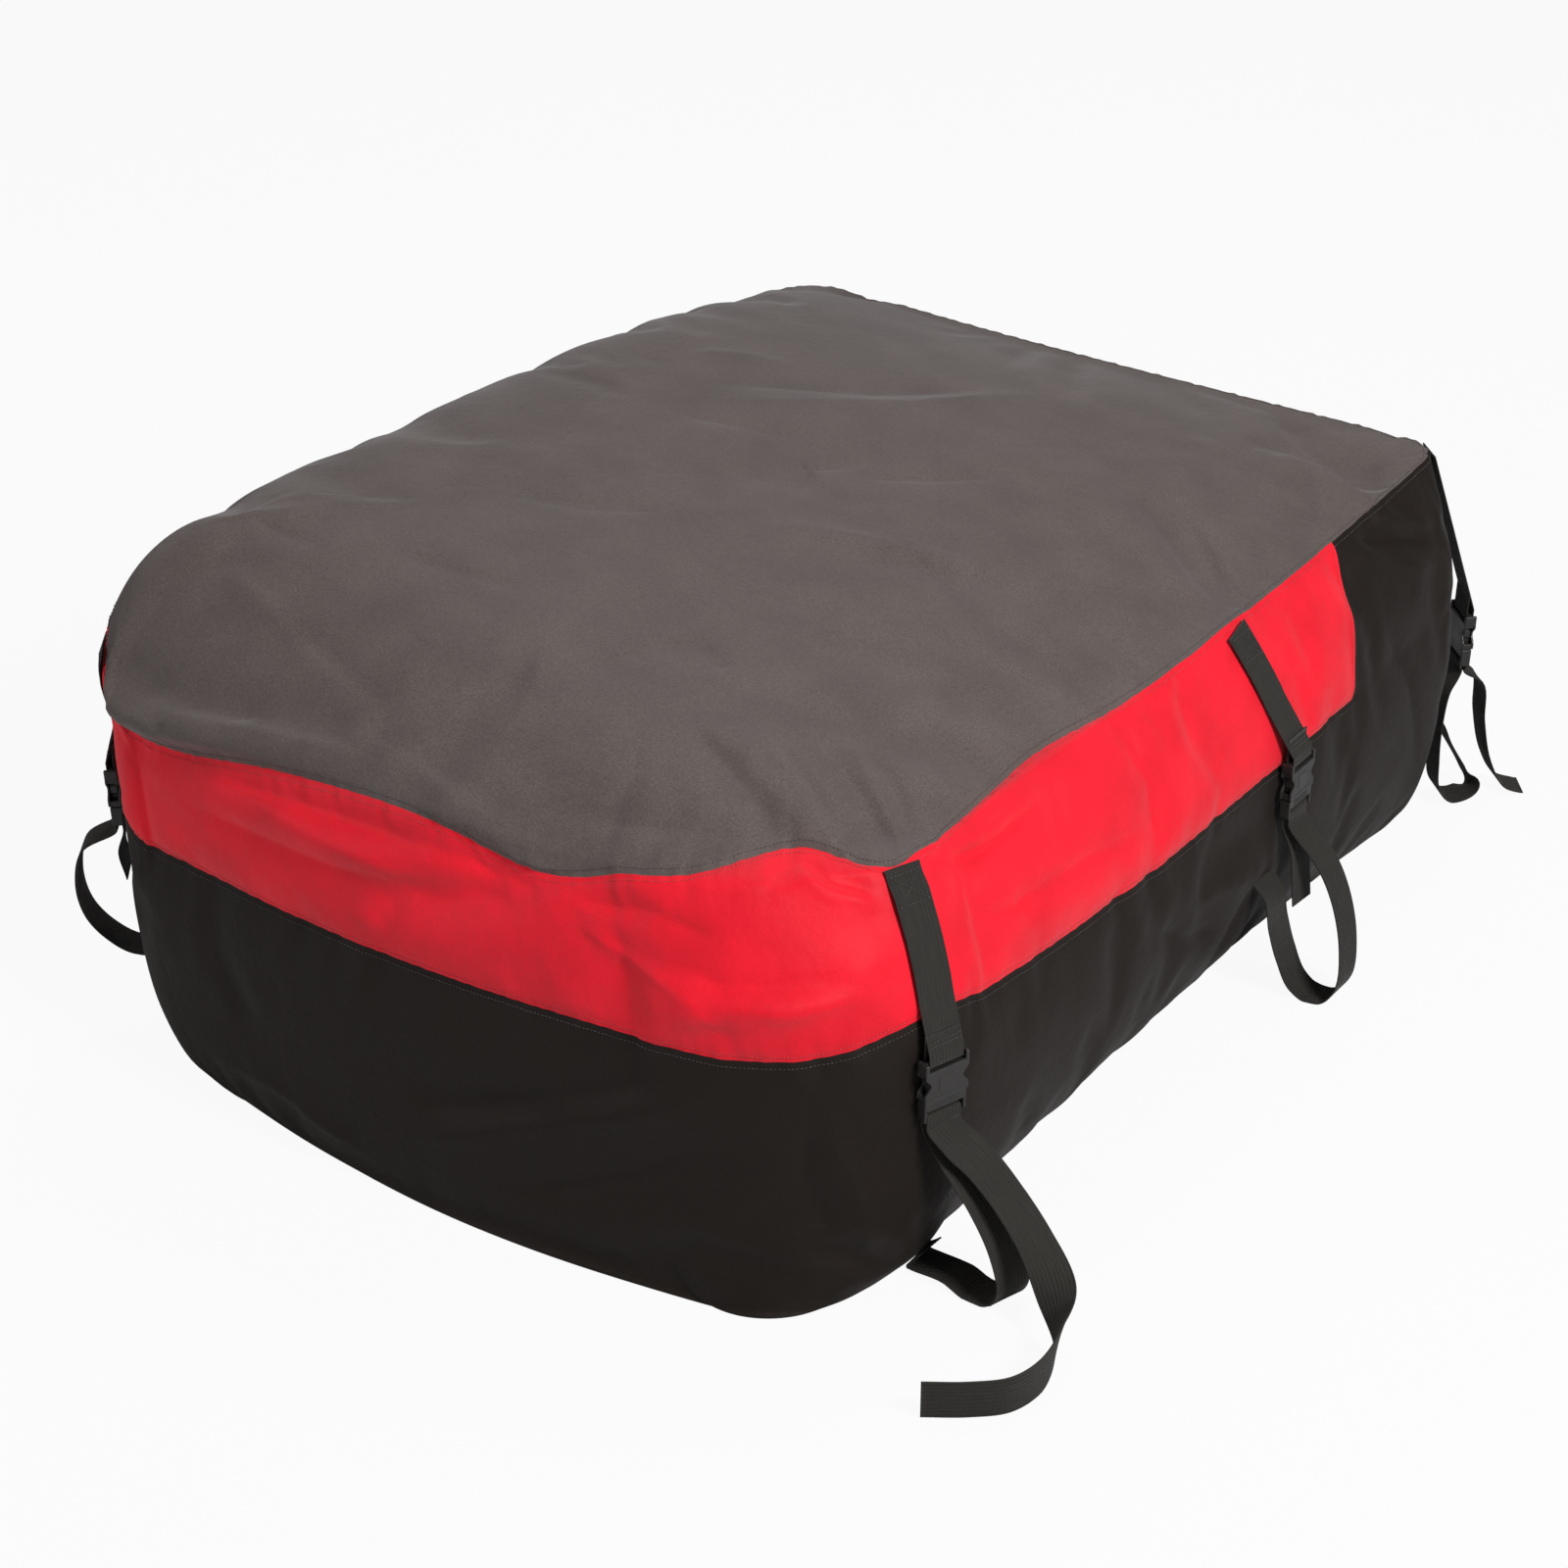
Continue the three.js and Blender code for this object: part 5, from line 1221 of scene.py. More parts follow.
def plate(name, edge, low, high, bevel=0.6, holes=()):
    """A plate with rounded edges between two heights, from its outline and holes."""
    curve = bpy.data.curves.new(name, "CURVE")
    curve.dimensions = "2D"
    curve.fill_mode = "BOTH"
    curve.extrude = ((high - low) / 2 - bevel) * MM
    curve.bevel_depth = bevel * MM
    curve.bevel_resolution = 2
    curve.offset = -bevel * MM
    for ring in (edge, *holes):
        spline = curve.splines.new("POLY")
        spline.points.add(len(ring) - 1)
        for point, (x, y) in zip(spline.points, ring):
            point.co = (x * MM, y * MM, 0, 1)
        spline.use_cyclic_u = True
    obj = bpy.data.objects.new(name, curve)
    bpy.context.scene.collection.objects.link(obj)
    obj.location.z = (low + high) / 2 * MM
    bpy.context.view_layer.update()
    made = solid_mesh(obj)
    made.data.shade_flat()
    return made


def rounded(width, start, end, radius, steps=5, middle=0.0):
    """A rectangle's outline with round corners."""
    ring = []
    corners = (
        (middle + width / 2 - radius, start + radius, -90), (middle + width / 2 - radius, end - radius, 0),
        (middle - width / 2 + radius, end - radius, 90), (middle - width / 2 + radius, start + radius, 180))
    for x, y, angle in corners:
        for k in range(steps + 1):
            turn = math.radians(angle + 90 * k / steps)
            ring.append((x + radius * math.cos(turn), y + radius * math.sin(turn)))
    return ring


def waisted(width, start, end, waist_at, depth, spread, radius):
    """An outline like a rectangle's, with a smooth waist in each long side."""
    right = []
    for k in range(49):
        y = start + (end - start) * k / 48
        x = width / 2
        near = min(y - start, end - y)
        if near < radius:
            x -= radius - math.sqrt(max(0, radius ** 2 - (radius - near) ** 2))
        away = abs(y - waist_at)
        if away < spread:
            x -= depth * (0.5 + 0.5 * math.cos(math.pi * away / spread)) ** 0.8
        right.append((x, y))
    return right + [(-x, y) for x, y in reversed(right)]


# The buckle's own form: the waist in its cheeks, its web slot's play, and how its thin pieces stand in from its faces.
WAIST_PLACE = 9
WAIST_DEPTH = 6
WAIST_SPREAD = 9.5
CHEEK_RADIUS = 2.2
SLOT_PLAY = 2
INSET = 0.8
HEAD_INSET = 1
GRIP_COUNT = 4
GRIP_PITCH = 1.7
MOUTH_SHARE = 0.72
GRIP_SHARE = 0.62
RIB_WIDTH = 19
POST_WIDTH = 4.4
GUIDE_WIDTH = 5
PRONG_MARGIN = 5.5


def socket_pieces():
    """The socket half: a web bar in a frame, two waisted plates over a cavity, and the walls between."""
    s = strap_lengths()
    long, wide, thick = size("socket_length"), size("socket_width"), size("socket_thickness")
    slot = size("web_width") + SLOT_PLAY
    slot_end = BAR_LENGTH + SLOT_LENGTH
    tip = long - PRONG_LENGTH
    throat_end = tip - RUNNING_GAP - 1
    cheek = waisted(wide, slot_end, long, throat_end + WAIST_PLACE, WAIST_DEPTH, WAIST_SPREAD, CHEEK_RADIUS)
    rib = rounded(RIB_WIDTH, slot_end + 7, long - 7, 5)
    mouth = rounded(wide * MOUTH_SHARE, long - 4.2, long - 2.4, 0.8)
    throat = rounded(wide - 1.5, slot_end - 0.5, throat_end, 1)
    pieces = [
        plate("cheek", cheek, 0, SOCKET_WALL, 0.7), plate("cheek", cheek, thick - SOCKET_WALL, thick, 0.7),
        plate("rib", rib, thick - 0.6, thick + 0.35, 0.3), plate("mouth", mouth, thick - 0.6, thick + 0.3, 0.25),
        plate("throat", throat, INSET, thick - INSET, 0.5)]
    for side in (-1, 1):
        arm = rounded((wide - slot) / 2, 0, slot_end + 2, 1.6, middle=side * (wide + slot) / 4)
        pieces.append(plate("arm", arm, 0, thick, 1.2))
        post = rounded(POST_WIDTH, long - 6.5, long - 0.3, 1, middle=side * (wide / 2 - 2.7))
        pieces.append(plate("post", post, INSET, thick - INSET, 0.5))
    pieces.append(plate("bar", rounded(slot + 1.5, 0, BAR_LENGTH, 0.9), s["low"], s["high"], 0.9))
    return join("socket", pieces)


def plug_pieces():
    """The plug half: a head with finger grips, its web slot and bar, two sprung prongs and a guide."""
    s = strap_lengths()
    thick = size("socket_thickness")
    wide = size("socket_width") - 2
    slot = size("web_width") + SLOT_PLAY
    tip = size("socket_length") - PRONG_LENGTH
    low, high = SOCKET_WALL + RUNNING_GAP, thick - SOCKET_WALL - RUNNING_GAP
    head = [plate("head", rounded(wide, s["head"], s["slot"] + 1, 1.6), HEAD_INSET, thick - HEAD_INSET, 0.9)]
    for k in range(GRIP_COUNT):
        y = s["head"] + GRIP_PITCH + GRIP_PITCH * k
        head.append(plate("grip", rounded(wide * GRIP_SHARE, y, y + 0.8, 0.38), thick - 1.5, thick - 0.7, 0.2))
    for side in (-1, 1):
        arm = rounded((wide - slot) / 2, s["slot"] - 2, s["end"], 1.4, middle=side * (wide + slot) / 4)
        head.append(plate("arm", arm, HEAD_INSET, thick - HEAD_INSET, 1.0))
        outer = size("socket_width") / 2 - PRONG_MARGIN - RUNNING_GAP
        inner = outer - PRONG_WIDTH
        edge = [
            (inner + 1.5, s["head"] + 1), (inner + 1.2, tip + 15), (inner + 0.2, tip + 6), (inner + 0.6, tip + 1.5),
            (inner + 2.2, tip), (outer - 1.2, tip + 1.2), (outer - 0.2, tip + 4), (outer, tip + 7), (outer, tip + 11),
            (outer - 0.9, tip + 13.2), (outer - 1.0, tip + 18), (outer - 0.4, s["head"] + 1)]
        ring = [(side * x, y) for x, y in edge]
        head.append(plate("prong", ring if side > 0 else ring[::-1], low, high, 0.5))
    head.append(plate("guide", rounded(GUIDE_WIDTH, tip + 6, s["head"] + 1, 1.8), low, high, 0.5))
    head.append(plate("bar", rounded(slot + 1.5, s["end_bar"], s["end"], 0.9), s["low"], s["high"], 0.9))
    return join("plug", head)


# ---------------------------------------------------------------- the zip's sizes and frame

ZIP_HEIGHT = 352
ZIP_HALF_LENGTH = 270
ZIP_TAPE_WIDTH = 32
ZIP_TAPE_THICKNESS = 1.4
COIL_WIDTH = 7
COIL_HEIGHT = 2.2
SLIDER_LENGTH = 16
SLIDER_WIDTH = 13
SLIDER_PLATE = 1.6
SLIDER_SPACING = 22
SLIDER_GAP = 0.5
EAR_WIDTH = 1.8
PULL_LENGTH = 36
PULL_WIDTH = 9
PULL_NECK_WIDTH = 5.6
PULL_THICKNESS = 2
PIN_RADIUS = 1.1
FLAP_DEPTH = 44
FLAP_THICKNESS = 1.2
REAR = {"place": 4.5}


def rear_seat(low, high):
    """How far out a level strip across the rear lies to clear the wall between two heights."""
    spot = station_frame(REAR)
    spans = np.array([-0.9, -0.5, 0, 0.5, 0.9])[:, None] * ZIP_HALF_LENGTH
    return float(reach(spot, spans, np.linspace(low, high, 9)[None]).max()) + WEB_GAP


def zip_seats():
    """How far out the zip's tapes and the rain flap lie."""
    zip_seat = rear_seat(ZIP_HEIGHT - ZIP_TAPE_WIDTH / 2, ZIP_HEIGHT + ZIP_TAPE_WIDTH / 2)
    low = ZIP_HEIGHT + SLIDER_WIDTH / 2 + 2
    flap_seat = max(zip_seat + ZIP_TAPE_THICKNESS + WEB_GAP, rear_seat(low, low + FLAP_DEPTH))
    return zip_seat, flap_seat, low


def rear_strip(name, half_length, section, out, height, across=12, spacing=8.0):
    """A strip along the rear wall from its section of heights and distances out, with its cut's own scale."""
    spot = station_frame(REAR)
    spans = np.linspace(half_length, -half_length, int(2 * half_length / spacing) + 1)
    ring = []
    for (h0, o0), (h1, o1) in zip(section, (*section[1:], section[0])):
        count = max(1, int(abs(h1 - h0) / across))
        ring += [(h0 + (h1 - h0) * k / count, o0 + (o1 - o0) * k / count) for k in range(count)]
    points = np.array([[at_station(spot, out + o, s, height + h) for h, o in ring] for s in spans])
    n = len(ring)
    uv = np.array([[(h + 200, s + 400) for h, o in ring] for s in spans])
    faces = grid_faces(len(spans), n).tolist()
    faces += [list(range(n))[::-1], [(len(spans) - 1) * n + k for k in range(n)]]
    return turned_out(mesh_object(name, points, faces, smooth=False, uv=uv))


BUCKLES = {}


def buckles():
    """The frames of all six buckles."""
    if not BUCKLES:
        for name, station in STATIONS.items():
            BUCKLES[name] = buckle_frame(station)
    return BUCKLES


def web_lines():
    """Points on the wall where webs, the zip and its flap lie on the cloth."""
    if not WEB_LINES:
        for buckle in buckles().values():
            points, _ = top_web_path(buckle)
            WEB_LINES.append(finer(np.array(points), 16))
        spot = station_frame(REAR)
        for height in (ZIP_HEIGHT - 8, ZIP_HEIGHT + 24, ZIP_HEIGHT + 46):
            WEB_LINES.append(np.array([at_station(spot, 0, s, height) for s in range(-290, 291, 20)]))
    return WEB_LINES


STITCH_LIFT = 0.35


def line_at(points, normals, depth, row, distance, columns):
    """A line over the shell at a distance down from one of its rows."""
    made = []
    for c in columns:
        run = depth[:, c] - depth[row, c]
        made.append([np.interp(distance, run, points[:, c, k] + normals[:, c, k] * STITCH_LIFT) for k in range(3)])
    return made


def wall_matrix(spot_place, height):
    """A frame on the wall: its x runs round the bag, its y down and its z outwards."""
    spot = station_frame({"place": spot_place})
    here = at_station(spot, float(reach(spot, 0, height)), 0, height)
    below = at_station(spot, float(reach(spot, 0, height - 6)), 0, height - 6)
    down = (below - here) / np.linalg.norm(below - here)
    side = -spot["along"]
    face = np.cross(side, down)
    if face @ spot["out"] < 0:
        side, face = -side, -face
    return axes_matrix((side, down, face), here)


# ---------------------------------------------------------------- operators


SEAM_STITCH = 6
EDGE_STITCH = 5
BASE_INSET = 0.96


class CARGOBAG_OT_shell(bpy.types.Operator):
    """Builds the cloth shell from its top panel, band and side panels, with their sewn lines"""

    bl_idname = "cargo_bag.shell"
    bl_label = "Build Cloth Shell"

    def execute(self, context):
        web_lines()
        points, normals, places, depth, along = dressed_shell()
        seam, edge = ROWS[0] - 1, ROWS[0] + ROWS[1] - 1
        every = np.arange(len(places))
        first, last = (int(np.argmin(abs(places - end))) for end in (BAND_START, BAND_END))
        band = np.concatenate([every[first:], every[:last + 1]])
        bare = every[last:first + 1]
        side_uv = np.stack([np.broadcast_to(along, depth.shape), depth], -1)
        top_uv = points[..., :2]

        ring = points[:seam + 1]
        cap = ring[0].mean(0)
        panel_points = np.concatenate([ring.reshape(-1, 3), cap[None]])
        columns = len(places)
        faces = grid_faces(seam + 1, columns).tolist()
        faces += [[len(panel_points) - 1, c, (c + 1) % columns] for c in range(columns)]
        uv = np.concatenate([top_uv[:seam + 1].reshape(-1, 2), cap[None, :2]])
        top_panel = mesh_object("top_panel", panel_points, faces, uv=uv)

        band_part = panel("band", points, (seam, edge), band, side_uv, False)
        upper = panel("upper", points, (seam, edge), bare, side_uv, False)
        lower = panel("lower", points, (edge, len(points) - 1), every, side_uv, True)
        rim = points[-1]
        base_points = np.concatenate([rim, rim * [BASE_INSET, BASE_INSET, 0], [[0, 0, 0]]])
        base_faces = grid_faces(2, columns).tolist()
        base_faces += [[columns + (c + 1) % columns, columns + c, 2 * columns] for c in range(columns)]
        base = mesh_object("base", base_points, base_faces, uv=base_points[:, :2])
        sides = join("side_panels", [upper, lower, base])

        finish(top_panel, "Coated 600D polyester, top, painted lit", "top_cloth", "root", "bag_body")
        finish(sides, "Coated 600D polyester, sides, painted shade", "side_cloth", "root")
        finish(band_part, "Coated 600D polyester, band", "band_cloth", "root", "red_band")
        band_part.name = "band_panel"

        dark, red = (
            [line_at(points, normals, depth, row, distance, columns) for row, distance, columns in rows]
            for rows in (
                ((seam, -SEAM_STITCH, [*every, 0]), (seam, SEAM_STITCH, bare), (edge, SEAM_STITCH, band)),
                ((seam, SEAM_STITCH, band), (edge, -EDGE_STITCH, band))))
        for column, step in ((last, -1), (first, 1)):
            inner = (column + step) % columns
            strip = points[seam + 2:edge - 1]
            share = EDGE_STITCH / np.linalg.norm(strip[:, inner] - strip[:, column], axis=1, keepdims=True)
            line = strip[:, column] + (strip[:, inner] - strip[:, column]) * share
            red.append(line + normals[seam + 2:edge - 1, column] * STITCH_LIFT)
        dark_stitches = stitches("shell_stitches_dark", dark)
        red_stitches = stitches("shell_stitches_red", red, "Polyester thread, red")
        finish(dark_stitches, "Polyester thread, dark", "top_cloth", "root")
        finish(red_stitches, "Polyester thread, red", "band_cloth", "root")
        return {"FINISHED"}


# The stitched box at a web's upper end, and the two bars over the socket's bar, down from the end and up to it.
BOX_INSET = 4
BOX_ENDS = (7, 34)
BAR_STITCHES = (8, 12)


class CARGOBAG_OT_webbing(bpy.types.Operator):
    """Builds the ribbed webs of all six strap stations, with their sewn ends"""

    bl_idname = "cargo_bag.webbing"
    bl_label = "Build Webbing"

    def execute(self, context):
        for name, buckle in buckles().items():
            front, wrap = top_web_path(buckle)
            side = buckle["side"]
            smooth = catmull(front, 5)
            path = finer(np.array([*smooth, *wrap]), WEB_SPACING)
            web = ribbed_web(f"top_webbing_{name}", path, np.broadcast_to(side, path.shape))
            finish(web, "Woven polypropylene webbing", "webbing", "root", f"top_web_{name}")
            self.sew_top(name, buckle, smooth)

            points, sides = tie_web_path(buckle, TIES[name])
            tie = ribbed_web(f"tie_webbing_{name}", points, sides)
            finish(tie, "Woven polypropylene webbing", "webbing", None, f"tie_web_{name}")
            s = strap_lengths()
            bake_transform(tie)
            size("web_width") * MM
        return {"FINISHED"}

    @staticmethod
    def sew_top(name, buckle, path):
        """Sews a box with a cross at the web's upper end and two bars over the socket's bar."""
        lift = size("web_thickness") / 2 + 0.25
        side = buckle["side"]
        run = np.concatenate([[0], np.cumsum(np.linalg.norm(np.diff(path, axis=0), axis=1))])

        def over(across, length_down):
            at = np.array([np.interp(length_down, run, path[:, k]) for k in range(3)])
            ahead = np.array([np.interp(length_down + 2, run, path[:, k]) for k in range(3)]) - at
            face = np.cross(side, ahead / np.linalg.norm(ahead))
            return at + side * across + face * lift

        def stroke(a, b):
            return [over(a[0] + (b[0] - a[0]) * k / 12, a[1] + (b[1] - a[1]) * k / 12) for k in range(13)]

        x, y0, y1 = size("web_width") / 2 - BOX_INSET, *BOX_ENDS
        total = run[-1]
        lines = [
            stroke((-x, y0), (x, y0)), stroke((x, y0), (x, y1)), stroke((x, y1), (-x, y1)), stroke((-x, y1), (-x, y0)),
            stroke((-x, y0), (x, y1)), stroke((x, y0), (-x, y1)),
            *(stroke((-x - 1, total - back), (x + 1, total - back)) for back in BAR_STITCHES)]
        finish(stitches(f"top_web_stitches_{name}", lines), "Polyester thread, dark", "webbing", "root")


class CARGOBAG_OT_buckles(bpy.types.Operator):
    """Builds the side-release buckles, each a socket and a plug"""

    bl_idname = "cargo_bag.buckles"
    bl_label = "Build Buckles"

    def execute(self, context):
        patterns = {"socket": socket_pieces(), "plug": plug_pieces()}
        for name, buckle in buckles().items():
            for kind, body in (("socket", "root"), ("plug", f"plug_{name}")):
                obj = patterns[kind].copy()
                obj.data = patterns[kind].data.copy()
                obj.name = f"{kind}_{name}"
                context.scene.collection.objects.link(obj)
                place(obj, buckle["matrix"])
                finish(obj, "Injection moulded acetal", "buckle_plastic", body, f"buckle_{kind}_{name}")
        for obj in patterns.values():
            bpy.data.objects.remove(obj)
        return {"FINISHED"}


class CARGOBAG_OT_zip(bpy.types.Operator):
    """Builds the rear zip with its coil, sliders, pulls and rain flap"""

    bl_idname = "cargo_bag.zip"
    bl_label = "Build Zip"

    def execute(self, context):
        spot = station_frame(REAR)
        zip_seat, flap_seat, flap_low = zip_seats()
        half = ZIP_TAPE_WIDTH / 2
        edge = COIL_WIDTH / 2
        tapes = []
        for low, high in ((-half, -0.4), (0.4, half)):
            section = ((low, 0), (high, 0), (high, ZIP_TAPE_THICKNESS - 0.3), (low, ZIP_TAPE_THICKNESS - 0.3))
            tapes.append(rear_strip("tape", ZIP_HALF_LENGTH, section, zip_seat, ZIP_HEIGHT, 4))
        finish(join("zip_tapes", tapes), "Woven polyester zip tape", "zip_tape", "root", "rear_zip")
        rows = []
        out = zip_seat + ZIP_TAPE_THICKNESS + COIL_HEIGHT / 2 - 0.3
        for side in (-1, 1):
            spans = np.linspace(-ZIP_HALF_LENGTH + 4, ZIP_HALF_LENGTH - 4, 60) + side * size("tooth_pitch") / 4
            rows.append([at_station(spot, out, s, ZIP_HEIGHT + side * edge * 0.42) for s in spans])
        coil = rods("zip_coil", rows, size("tooth_pitch"), edge * 1.25, COIL_HEIGHT * 0.62, "Drawn nylon coil", True)
        finish(coil, "Drawn nylon coil", "zip_tape", "root")

        t = FLAP_THICKNESS
        d = FLAP_DEPTH
        section = (
            (0, 0.5), (d * 0.2, 0.2), (d * 0.6, 0), (d, 0),
            (d, t * 0.8), (d * 0.6, t), (d * 0.2, t + 0.3), (0, t + 0.5))
        flap = rear_strip("flap", ZIP_HALF_LENGTH + 12, section, flap_seat, flap_low, 4)
        finish(flap, "Coated 600D polyester, sides, painted shade", "side_cloth", "root", "rain_flap")
        flap.name = "rain_flap_cloth"
        lines = []
        for out, height, end in (
                (flap_seat + t + 0.3, flap_low + d - 4, ZIP_HALF_LENGTH + 6),
                (flap_seat + t + 0.3, flap_low + d - 9, ZIP_HALF_LENGTH + 6),
                (flap_seat + t + 0.3, flap_low + 4, ZIP_HALF_LENGTH + 6),
                (zip_seat + ZIP_TAPE_THICKNESS, ZIP_HEIGHT - half + 3.5, ZIP_HALF_LENGTH - 4)):
            lines.append([at_station(spot, out, s, height) for s in np.linspace(-end, end, 60)])
        finish(stitches("zip_stitches", lines), "Polyester thread, dark", "zip_tape", "root")

        for name, side in (("left", 1), ("right", -1)):
            seat = at_station(spot, zip_seat + ZIP_TAPE_THICKNESS, side * SLIDER_SPACING / 2, ZIP_HEIGHT)
            ahead = spot["along"] * side
            upwards = np.cross(spot["out"], ahead)
            matrix = axes_matrix((ahead, upwards, spot["out"]), seat)
            slider = place(self.slider(), matrix)
            slider.name = f"slider_{name}_piece"
            finish(slider, "Die-cast zinc, black coated", "zip_metal", f"slider_{name}", f"zip_slider_{name}")
            pull = place(self.pull(), matrix)
            pull.name = f"pull_{name}_piece"
            finish(pull, "Die-cast zinc, black coated", "zip_metal", f"pull_{name}", f"zip_pull_{name}")
        return {"FINISHED"}

    @staticmethod
    def heights():
        low = COIL_HEIGHT + SLIDER_GAP
        high = low + SLIDER_PLATE
        return low, high, high + SLIDER_GAP + PULL_THICKNESS / 2

    def slider(self):
        """A slider: its plate, two rails and two ears for the pull's pin."""
        low, high, pin = self.heights()
        x = SLIDER_LENGTH / 2
        nose = [(x, -2.6), (x, 2.6), (x - 3, SLIDER_WIDTH / 2), (-x + 2, SLIDER_WIDTH / 2), (-x, SLIDER_WIDTH / 2 - 2)]
        ring = nose + [(-x, -SLIDER_WIDTH / 2 + 2), (-x + 2, -SLIDER_WIDTH / 2), (x - 3, -SLIDER_WIDTH / 2)]
        pieces = [plate("plate", ring, low, high, 0.45)]
        rail = COIL_WIDTH / 2 + SLIDER_GAP
        ear = PULL_NECK_WIDTH / 2 + SLIDER_GAP
        for side in (-1, 1):
            y0, y1 = sorted((side * rail, side * SLIDER_WIDTH / 2))
            rail_edge = [(3 - x, y0), (x - 3, y0), (x - 3, y1), (3 - x, y1)]
            pieces.append(plate("rail", rail_edge, SLIDER_GAP, low + 0.3, 0.3))
            y0, y1 = sorted((side * ear, side * (ear + EAR_WIDTH)))
            pieces.append(plate("ear", [(-3, y0), (3, y0), (3, y1), (-3, y1)], high - 0.3, pin + PIN_RADIUS + 1.4, 0.4))
        return join("slider", pieces)

    def pull(self):
        """A pull tab on its pin: a neck and a slotted tab."""
        _, _, pin = self.heights()
        half = PULL_THICKNESS / 2
        neck = PULL_NECK_WIDTH / 2
        ear = PULL_NECK_WIDTH / 2 + SLIDER_GAP + EAR_WIDTH
        pieces = [plate("neck", [(-0.6, -neck), (12, -neck), (12, neck), (-0.6, neck)], pin - half, pin + half, 0.4)]
        turn = [(y, -x) for x, y in rounded(PULL_WIDTH, 10, PULL_LENGTH, 3)]
        hole = [(y, -x) for x, y in rounded(PULL_WIDTH - 4.6, 22, PULL_LENGTH - 3, 1.8)]
        pieces.append(plate("tab", turn, pin - half, pin + half, 0.45, holes=(hole,)))
        rod = [(-PIN_RADIUS, -ear + 0.2), (PIN_RADIUS, -ear + 0.2), (PIN_RADIUS, ear - 0.2), (-PIN_RADIUS, ear - 0.2)]
        pieces.append(plate("pin", rod, pin - PIN_RADIUS, pin + PIN_RADIUS, 0.75))
        return join("pull", pieces)


PATCH_PLACE = 1.86
PATCH_HEIGHT = 104
PATCH_WIDTH = 27
PATCH_LENGTH = 34
PATCH_RADIUS = 12


class CARGOBAG_OT_trim(bpy.types.Operator):
    """Builds the small sewn patch low on the wall beside the front right strap"""

    bl_idname = "cargo_bag.trim"
    bl_label = "Build Trim"

    def execute(self, context):
        matrix = wall_matrix(PATCH_PLACE, PATCH_HEIGHT)
        face = matrix.col[2].xyz
        context.view_layer.update()
        struck, seat, _, _ = bpy.data.objects["side_panels"].ray_cast((matrix.translation + face * 60) * MM, -face)
        if struck:
            matrix.translation = seat / MM
        patch = place(plate("wall_patch", rounded(PATCH_WIDTH, 0, PATCH_LENGTH, PATCH_RADIUS), 0.4, 2.2, 0.6), matrix)
        finish(patch, "Injection moulded acetal", "side_cloth", "root")
        return {"FINISHED"}


# The stage: the floor in millimetres, each lamp's place, size and power in metres and watts, and the camera at the
# photograph's turn and rise in degrees, with its distance and how far it moves aside and up in metres.
FLOOR_SIZE = 9000
FLOOR_DROP = 1
LAMPS = (
    ("key", (3.2, -0.8, 2.7), 1.0, 140), ("fill", (-2.0, -3.4, 1.8), 1.6, 36), ("over", (-0.6, 1.6, 3.8), 1.2, 40))
LAMP_AIM = (0, 0, 0.3)
FLOOR_TONE = (0.6, 0.6, 0.6, 1.0)
FLOOR_WHITE = 0.93
SKY_TONE = (0.95, 0.97, 1.0, 1.0)
SKY_STRENGTH = 0.15
WHITE = (1.0, 1.0, 1.0, 1.0)
VIEW_TURN = 35
VIEW_RISE = 29
VIEW_DISTANCE = 3.6
VIEW_ASIDE = -0.040
VIEW_LIFT = 0.147
SENSOR_WIDTH = 36
FOCAL_SHARE = 3500 / 1600


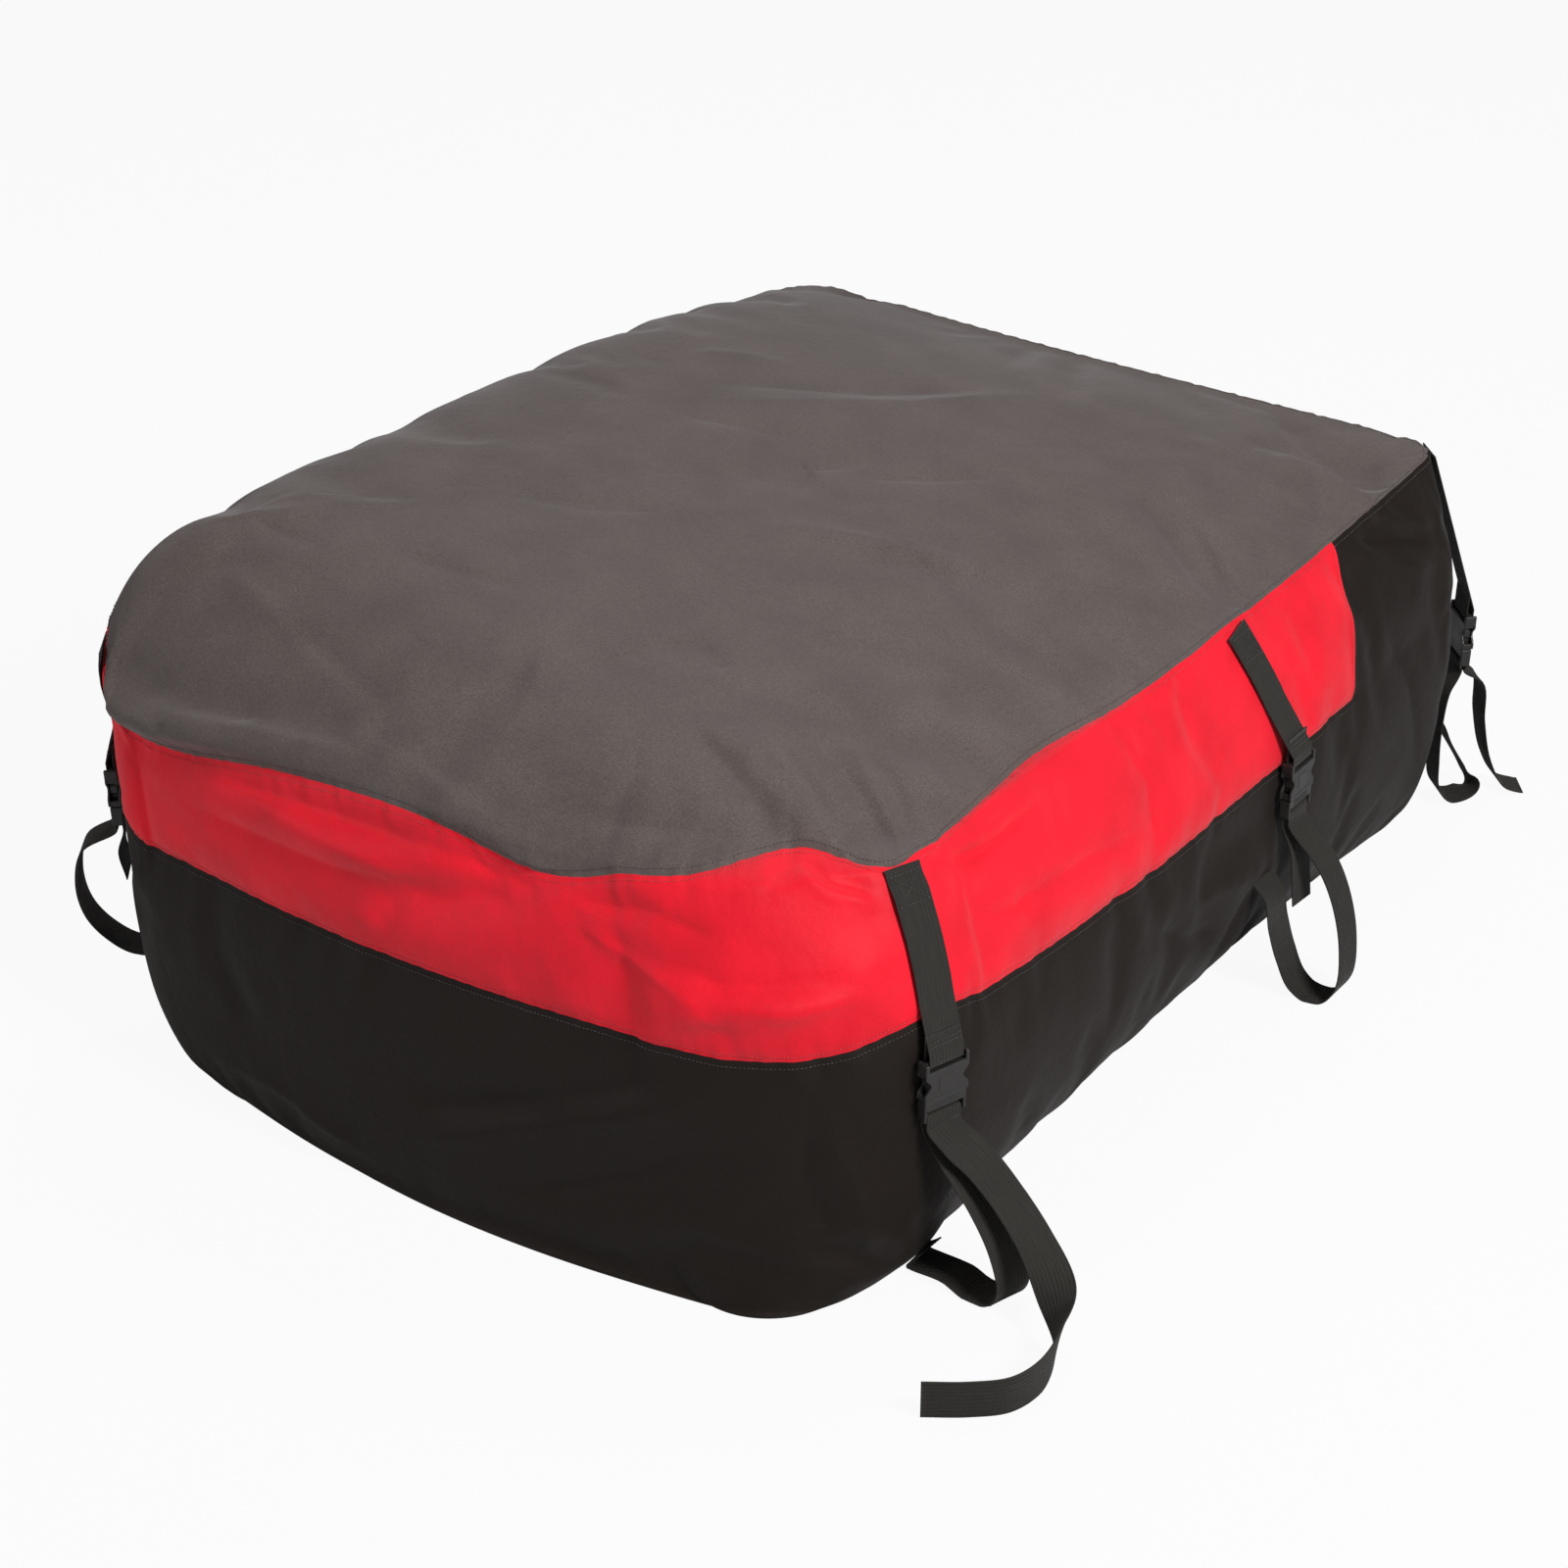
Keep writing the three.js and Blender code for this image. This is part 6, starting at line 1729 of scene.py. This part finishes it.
class CARGOBAG_OT_stage(bpy.types.Operator):
    """Sets the pale floor, soft lights and camera of the picture"""

    bl_idname = "cargo_bag.stage"
    bl_label = "Set Stage"

    def execute(self, context):
        scene = context.scene
        objects = [self.floor(), *(self.lamp(*row) for row in LAMPS), self.camera()]
        for obj in objects[1:]:
            scene.collection.objects.link(obj)
        scene.world = self.sky()
        scene.camera = objects[-1]
        scene.view_settings.view_transform = "Standard"
        return {"FINISHED"}

    @staticmethod
    def floor():
        """A matt floor that looks white to the camera but keeps the bag's shadow."""
        e = FLOOR_SIZE
        corners = [(x, y, -FLOOR_DROP) for x, y in ((-e, -e), (e, -e), (e, e), (-e, e))]
        floor = mesh_object("floor", corners, [(0, 1, 2, 3)])
        made, tree, output = new_material("Pale matt floor")
        matt = add(tree, "ShaderNodeBsdfDiffuse", {"Color": FLOOR_TONE})
        white = add(tree, "ShaderNodeEmission", {"Color": WHITE, "Strength": 1.0})
        path = add(tree, "ShaderNodeLightPath")
        seen = add(tree, "ShaderNodeMath", {0: path.outputs["Is Camera Ray"], 1: FLOOR_WHITE}, operation="MULTIPLY")
        mix = add(tree, "ShaderNodeMixShader", {0: seen, 1: matt, 2: white})
        tree.links.new(mix.outputs[0], output.inputs[0])
        floor.data.materials.append(made)
        return floor

    @staticmethod
    def lamp(name, spot, side, power):
        """A square area lamp that points at the bag."""
        light = bpy.data.lights.new(name, "AREA")
        light.size = side
        light.energy = power
        lamp = bpy.data.objects.new(name, light)
        lamp.location = spot
        lamp.rotation_euler = (Vector(LAMP_AIM) - Vector(spot)).to_track_quat("-Z", "Y").to_euler()
        return lamp

    @staticmethod
    def sky():
        """A world that is white to the camera and lights the bag softly."""
        world = bpy.data.worlds.new("Studio")
        world.use_nodes = True
        tree = world.node_tree
        tree.nodes.clear()
        path = add(tree, "ShaderNodeLightPath")
        soft = add(tree, "ShaderNodeBackground", {"Color": SKY_TONE, "Strength": SKY_STRENGTH})
        white = add(tree, "ShaderNodeBackground", {"Color": WHITE, "Strength": 1.0})
        mix = add(tree, "ShaderNodeMixShader", {0: path.outputs["Is Camera Ray"], 1: soft, 2: white})
        add(tree, "ShaderNodeOutputWorld", {0: mix})
        return world

    @staticmethod
    def camera():
        """The camera at the photograph's viewing angle."""
        camera = bpy.data.cameras.new("camera")
        camera.sensor_width = SENSOR_WIDTH
        camera.lens = FOCAL_SHARE * SENSOR_WIDTH
        camera.clip_end = 50
        turn, rise = math.radians(VIEW_TURN), math.radians(VIEW_RISE)
        back = Vector((math.sin(turn) * math.cos(rise), -math.cos(turn) * math.cos(rise), math.sin(rise)))
        right = Vector((math.cos(turn), math.sin(turn), 0))
        up = back.cross(right)
        view = bpy.data.objects.new("camera", camera)
        matrix = Matrix([right, up, back]).transposed().to_4x4()
        matrix.translation = right * VIEW_ASIDE + up * VIEW_LIFT + back * VIEW_DISTANCE
        view.matrix_world = matrix
        return view


class CARGOBAG_PT_panel(bpy.types.Panel):
    """The bag's settings and its pieces"""

    bl_idname = "CARGOBAG_PT_panel"
    bl_label = "Cargo Bag"
    bl_space_type = "VIEW_3D"
    bl_region_type = "UI"
    bl_category = "Cargo Bag"

    def draw(self, context):
        layout = self.layout
        for title, group in (("Sizes", context.scene.cargo_bag_sizes), ("Colours", context.scene.cargo_bag_colours)):
            box = layout.box()
            box.label(text=title)
            for name in group.__annotations__:
                box.prop(group, name)
        for operator in OPERATORS:
            layout.operator(operator.bl_idname)


OPERATORS = (
    CARGOBAG_OT_shell, CARGOBAG_OT_webbing, CARGOBAG_OT_buckles, CARGOBAG_OT_zip, CARGOBAG_OT_trim, CARGOBAG_OT_stage)
CLASSES = (CargoBagSizes, CargoBagColours, *OPERATORS, CARGOBAG_PT_panel)


def register():
    """Adds the add-on's classes and settings."""
    for item in CLASSES:
        bpy.utils.register_class(item)
    bpy.types.Scene.cargo_bag_sizes = bpy.props.PointerProperty(type=CargoBagSizes)
    bpy.types.Scene.cargo_bag_colours = bpy.props.PointerProperty(type=CargoBagColours)


def unregister():
    """Takes the add-on's classes and settings out."""
    del bpy.types.Scene.cargo_bag_colours
    del bpy.types.Scene.cargo_bag_sizes
    for item in reversed(CLASSES):
        bpy.utils.unregister_class(item)


def main():
    """Builds the whole bag in order."""
    register()
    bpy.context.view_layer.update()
    for operator in OPERATORS:
        name = operator.bl_idname.split(".")[1]
        getattr(bpy.ops.cargo_bag, name)()


if __name__ == "__main__":
    main()
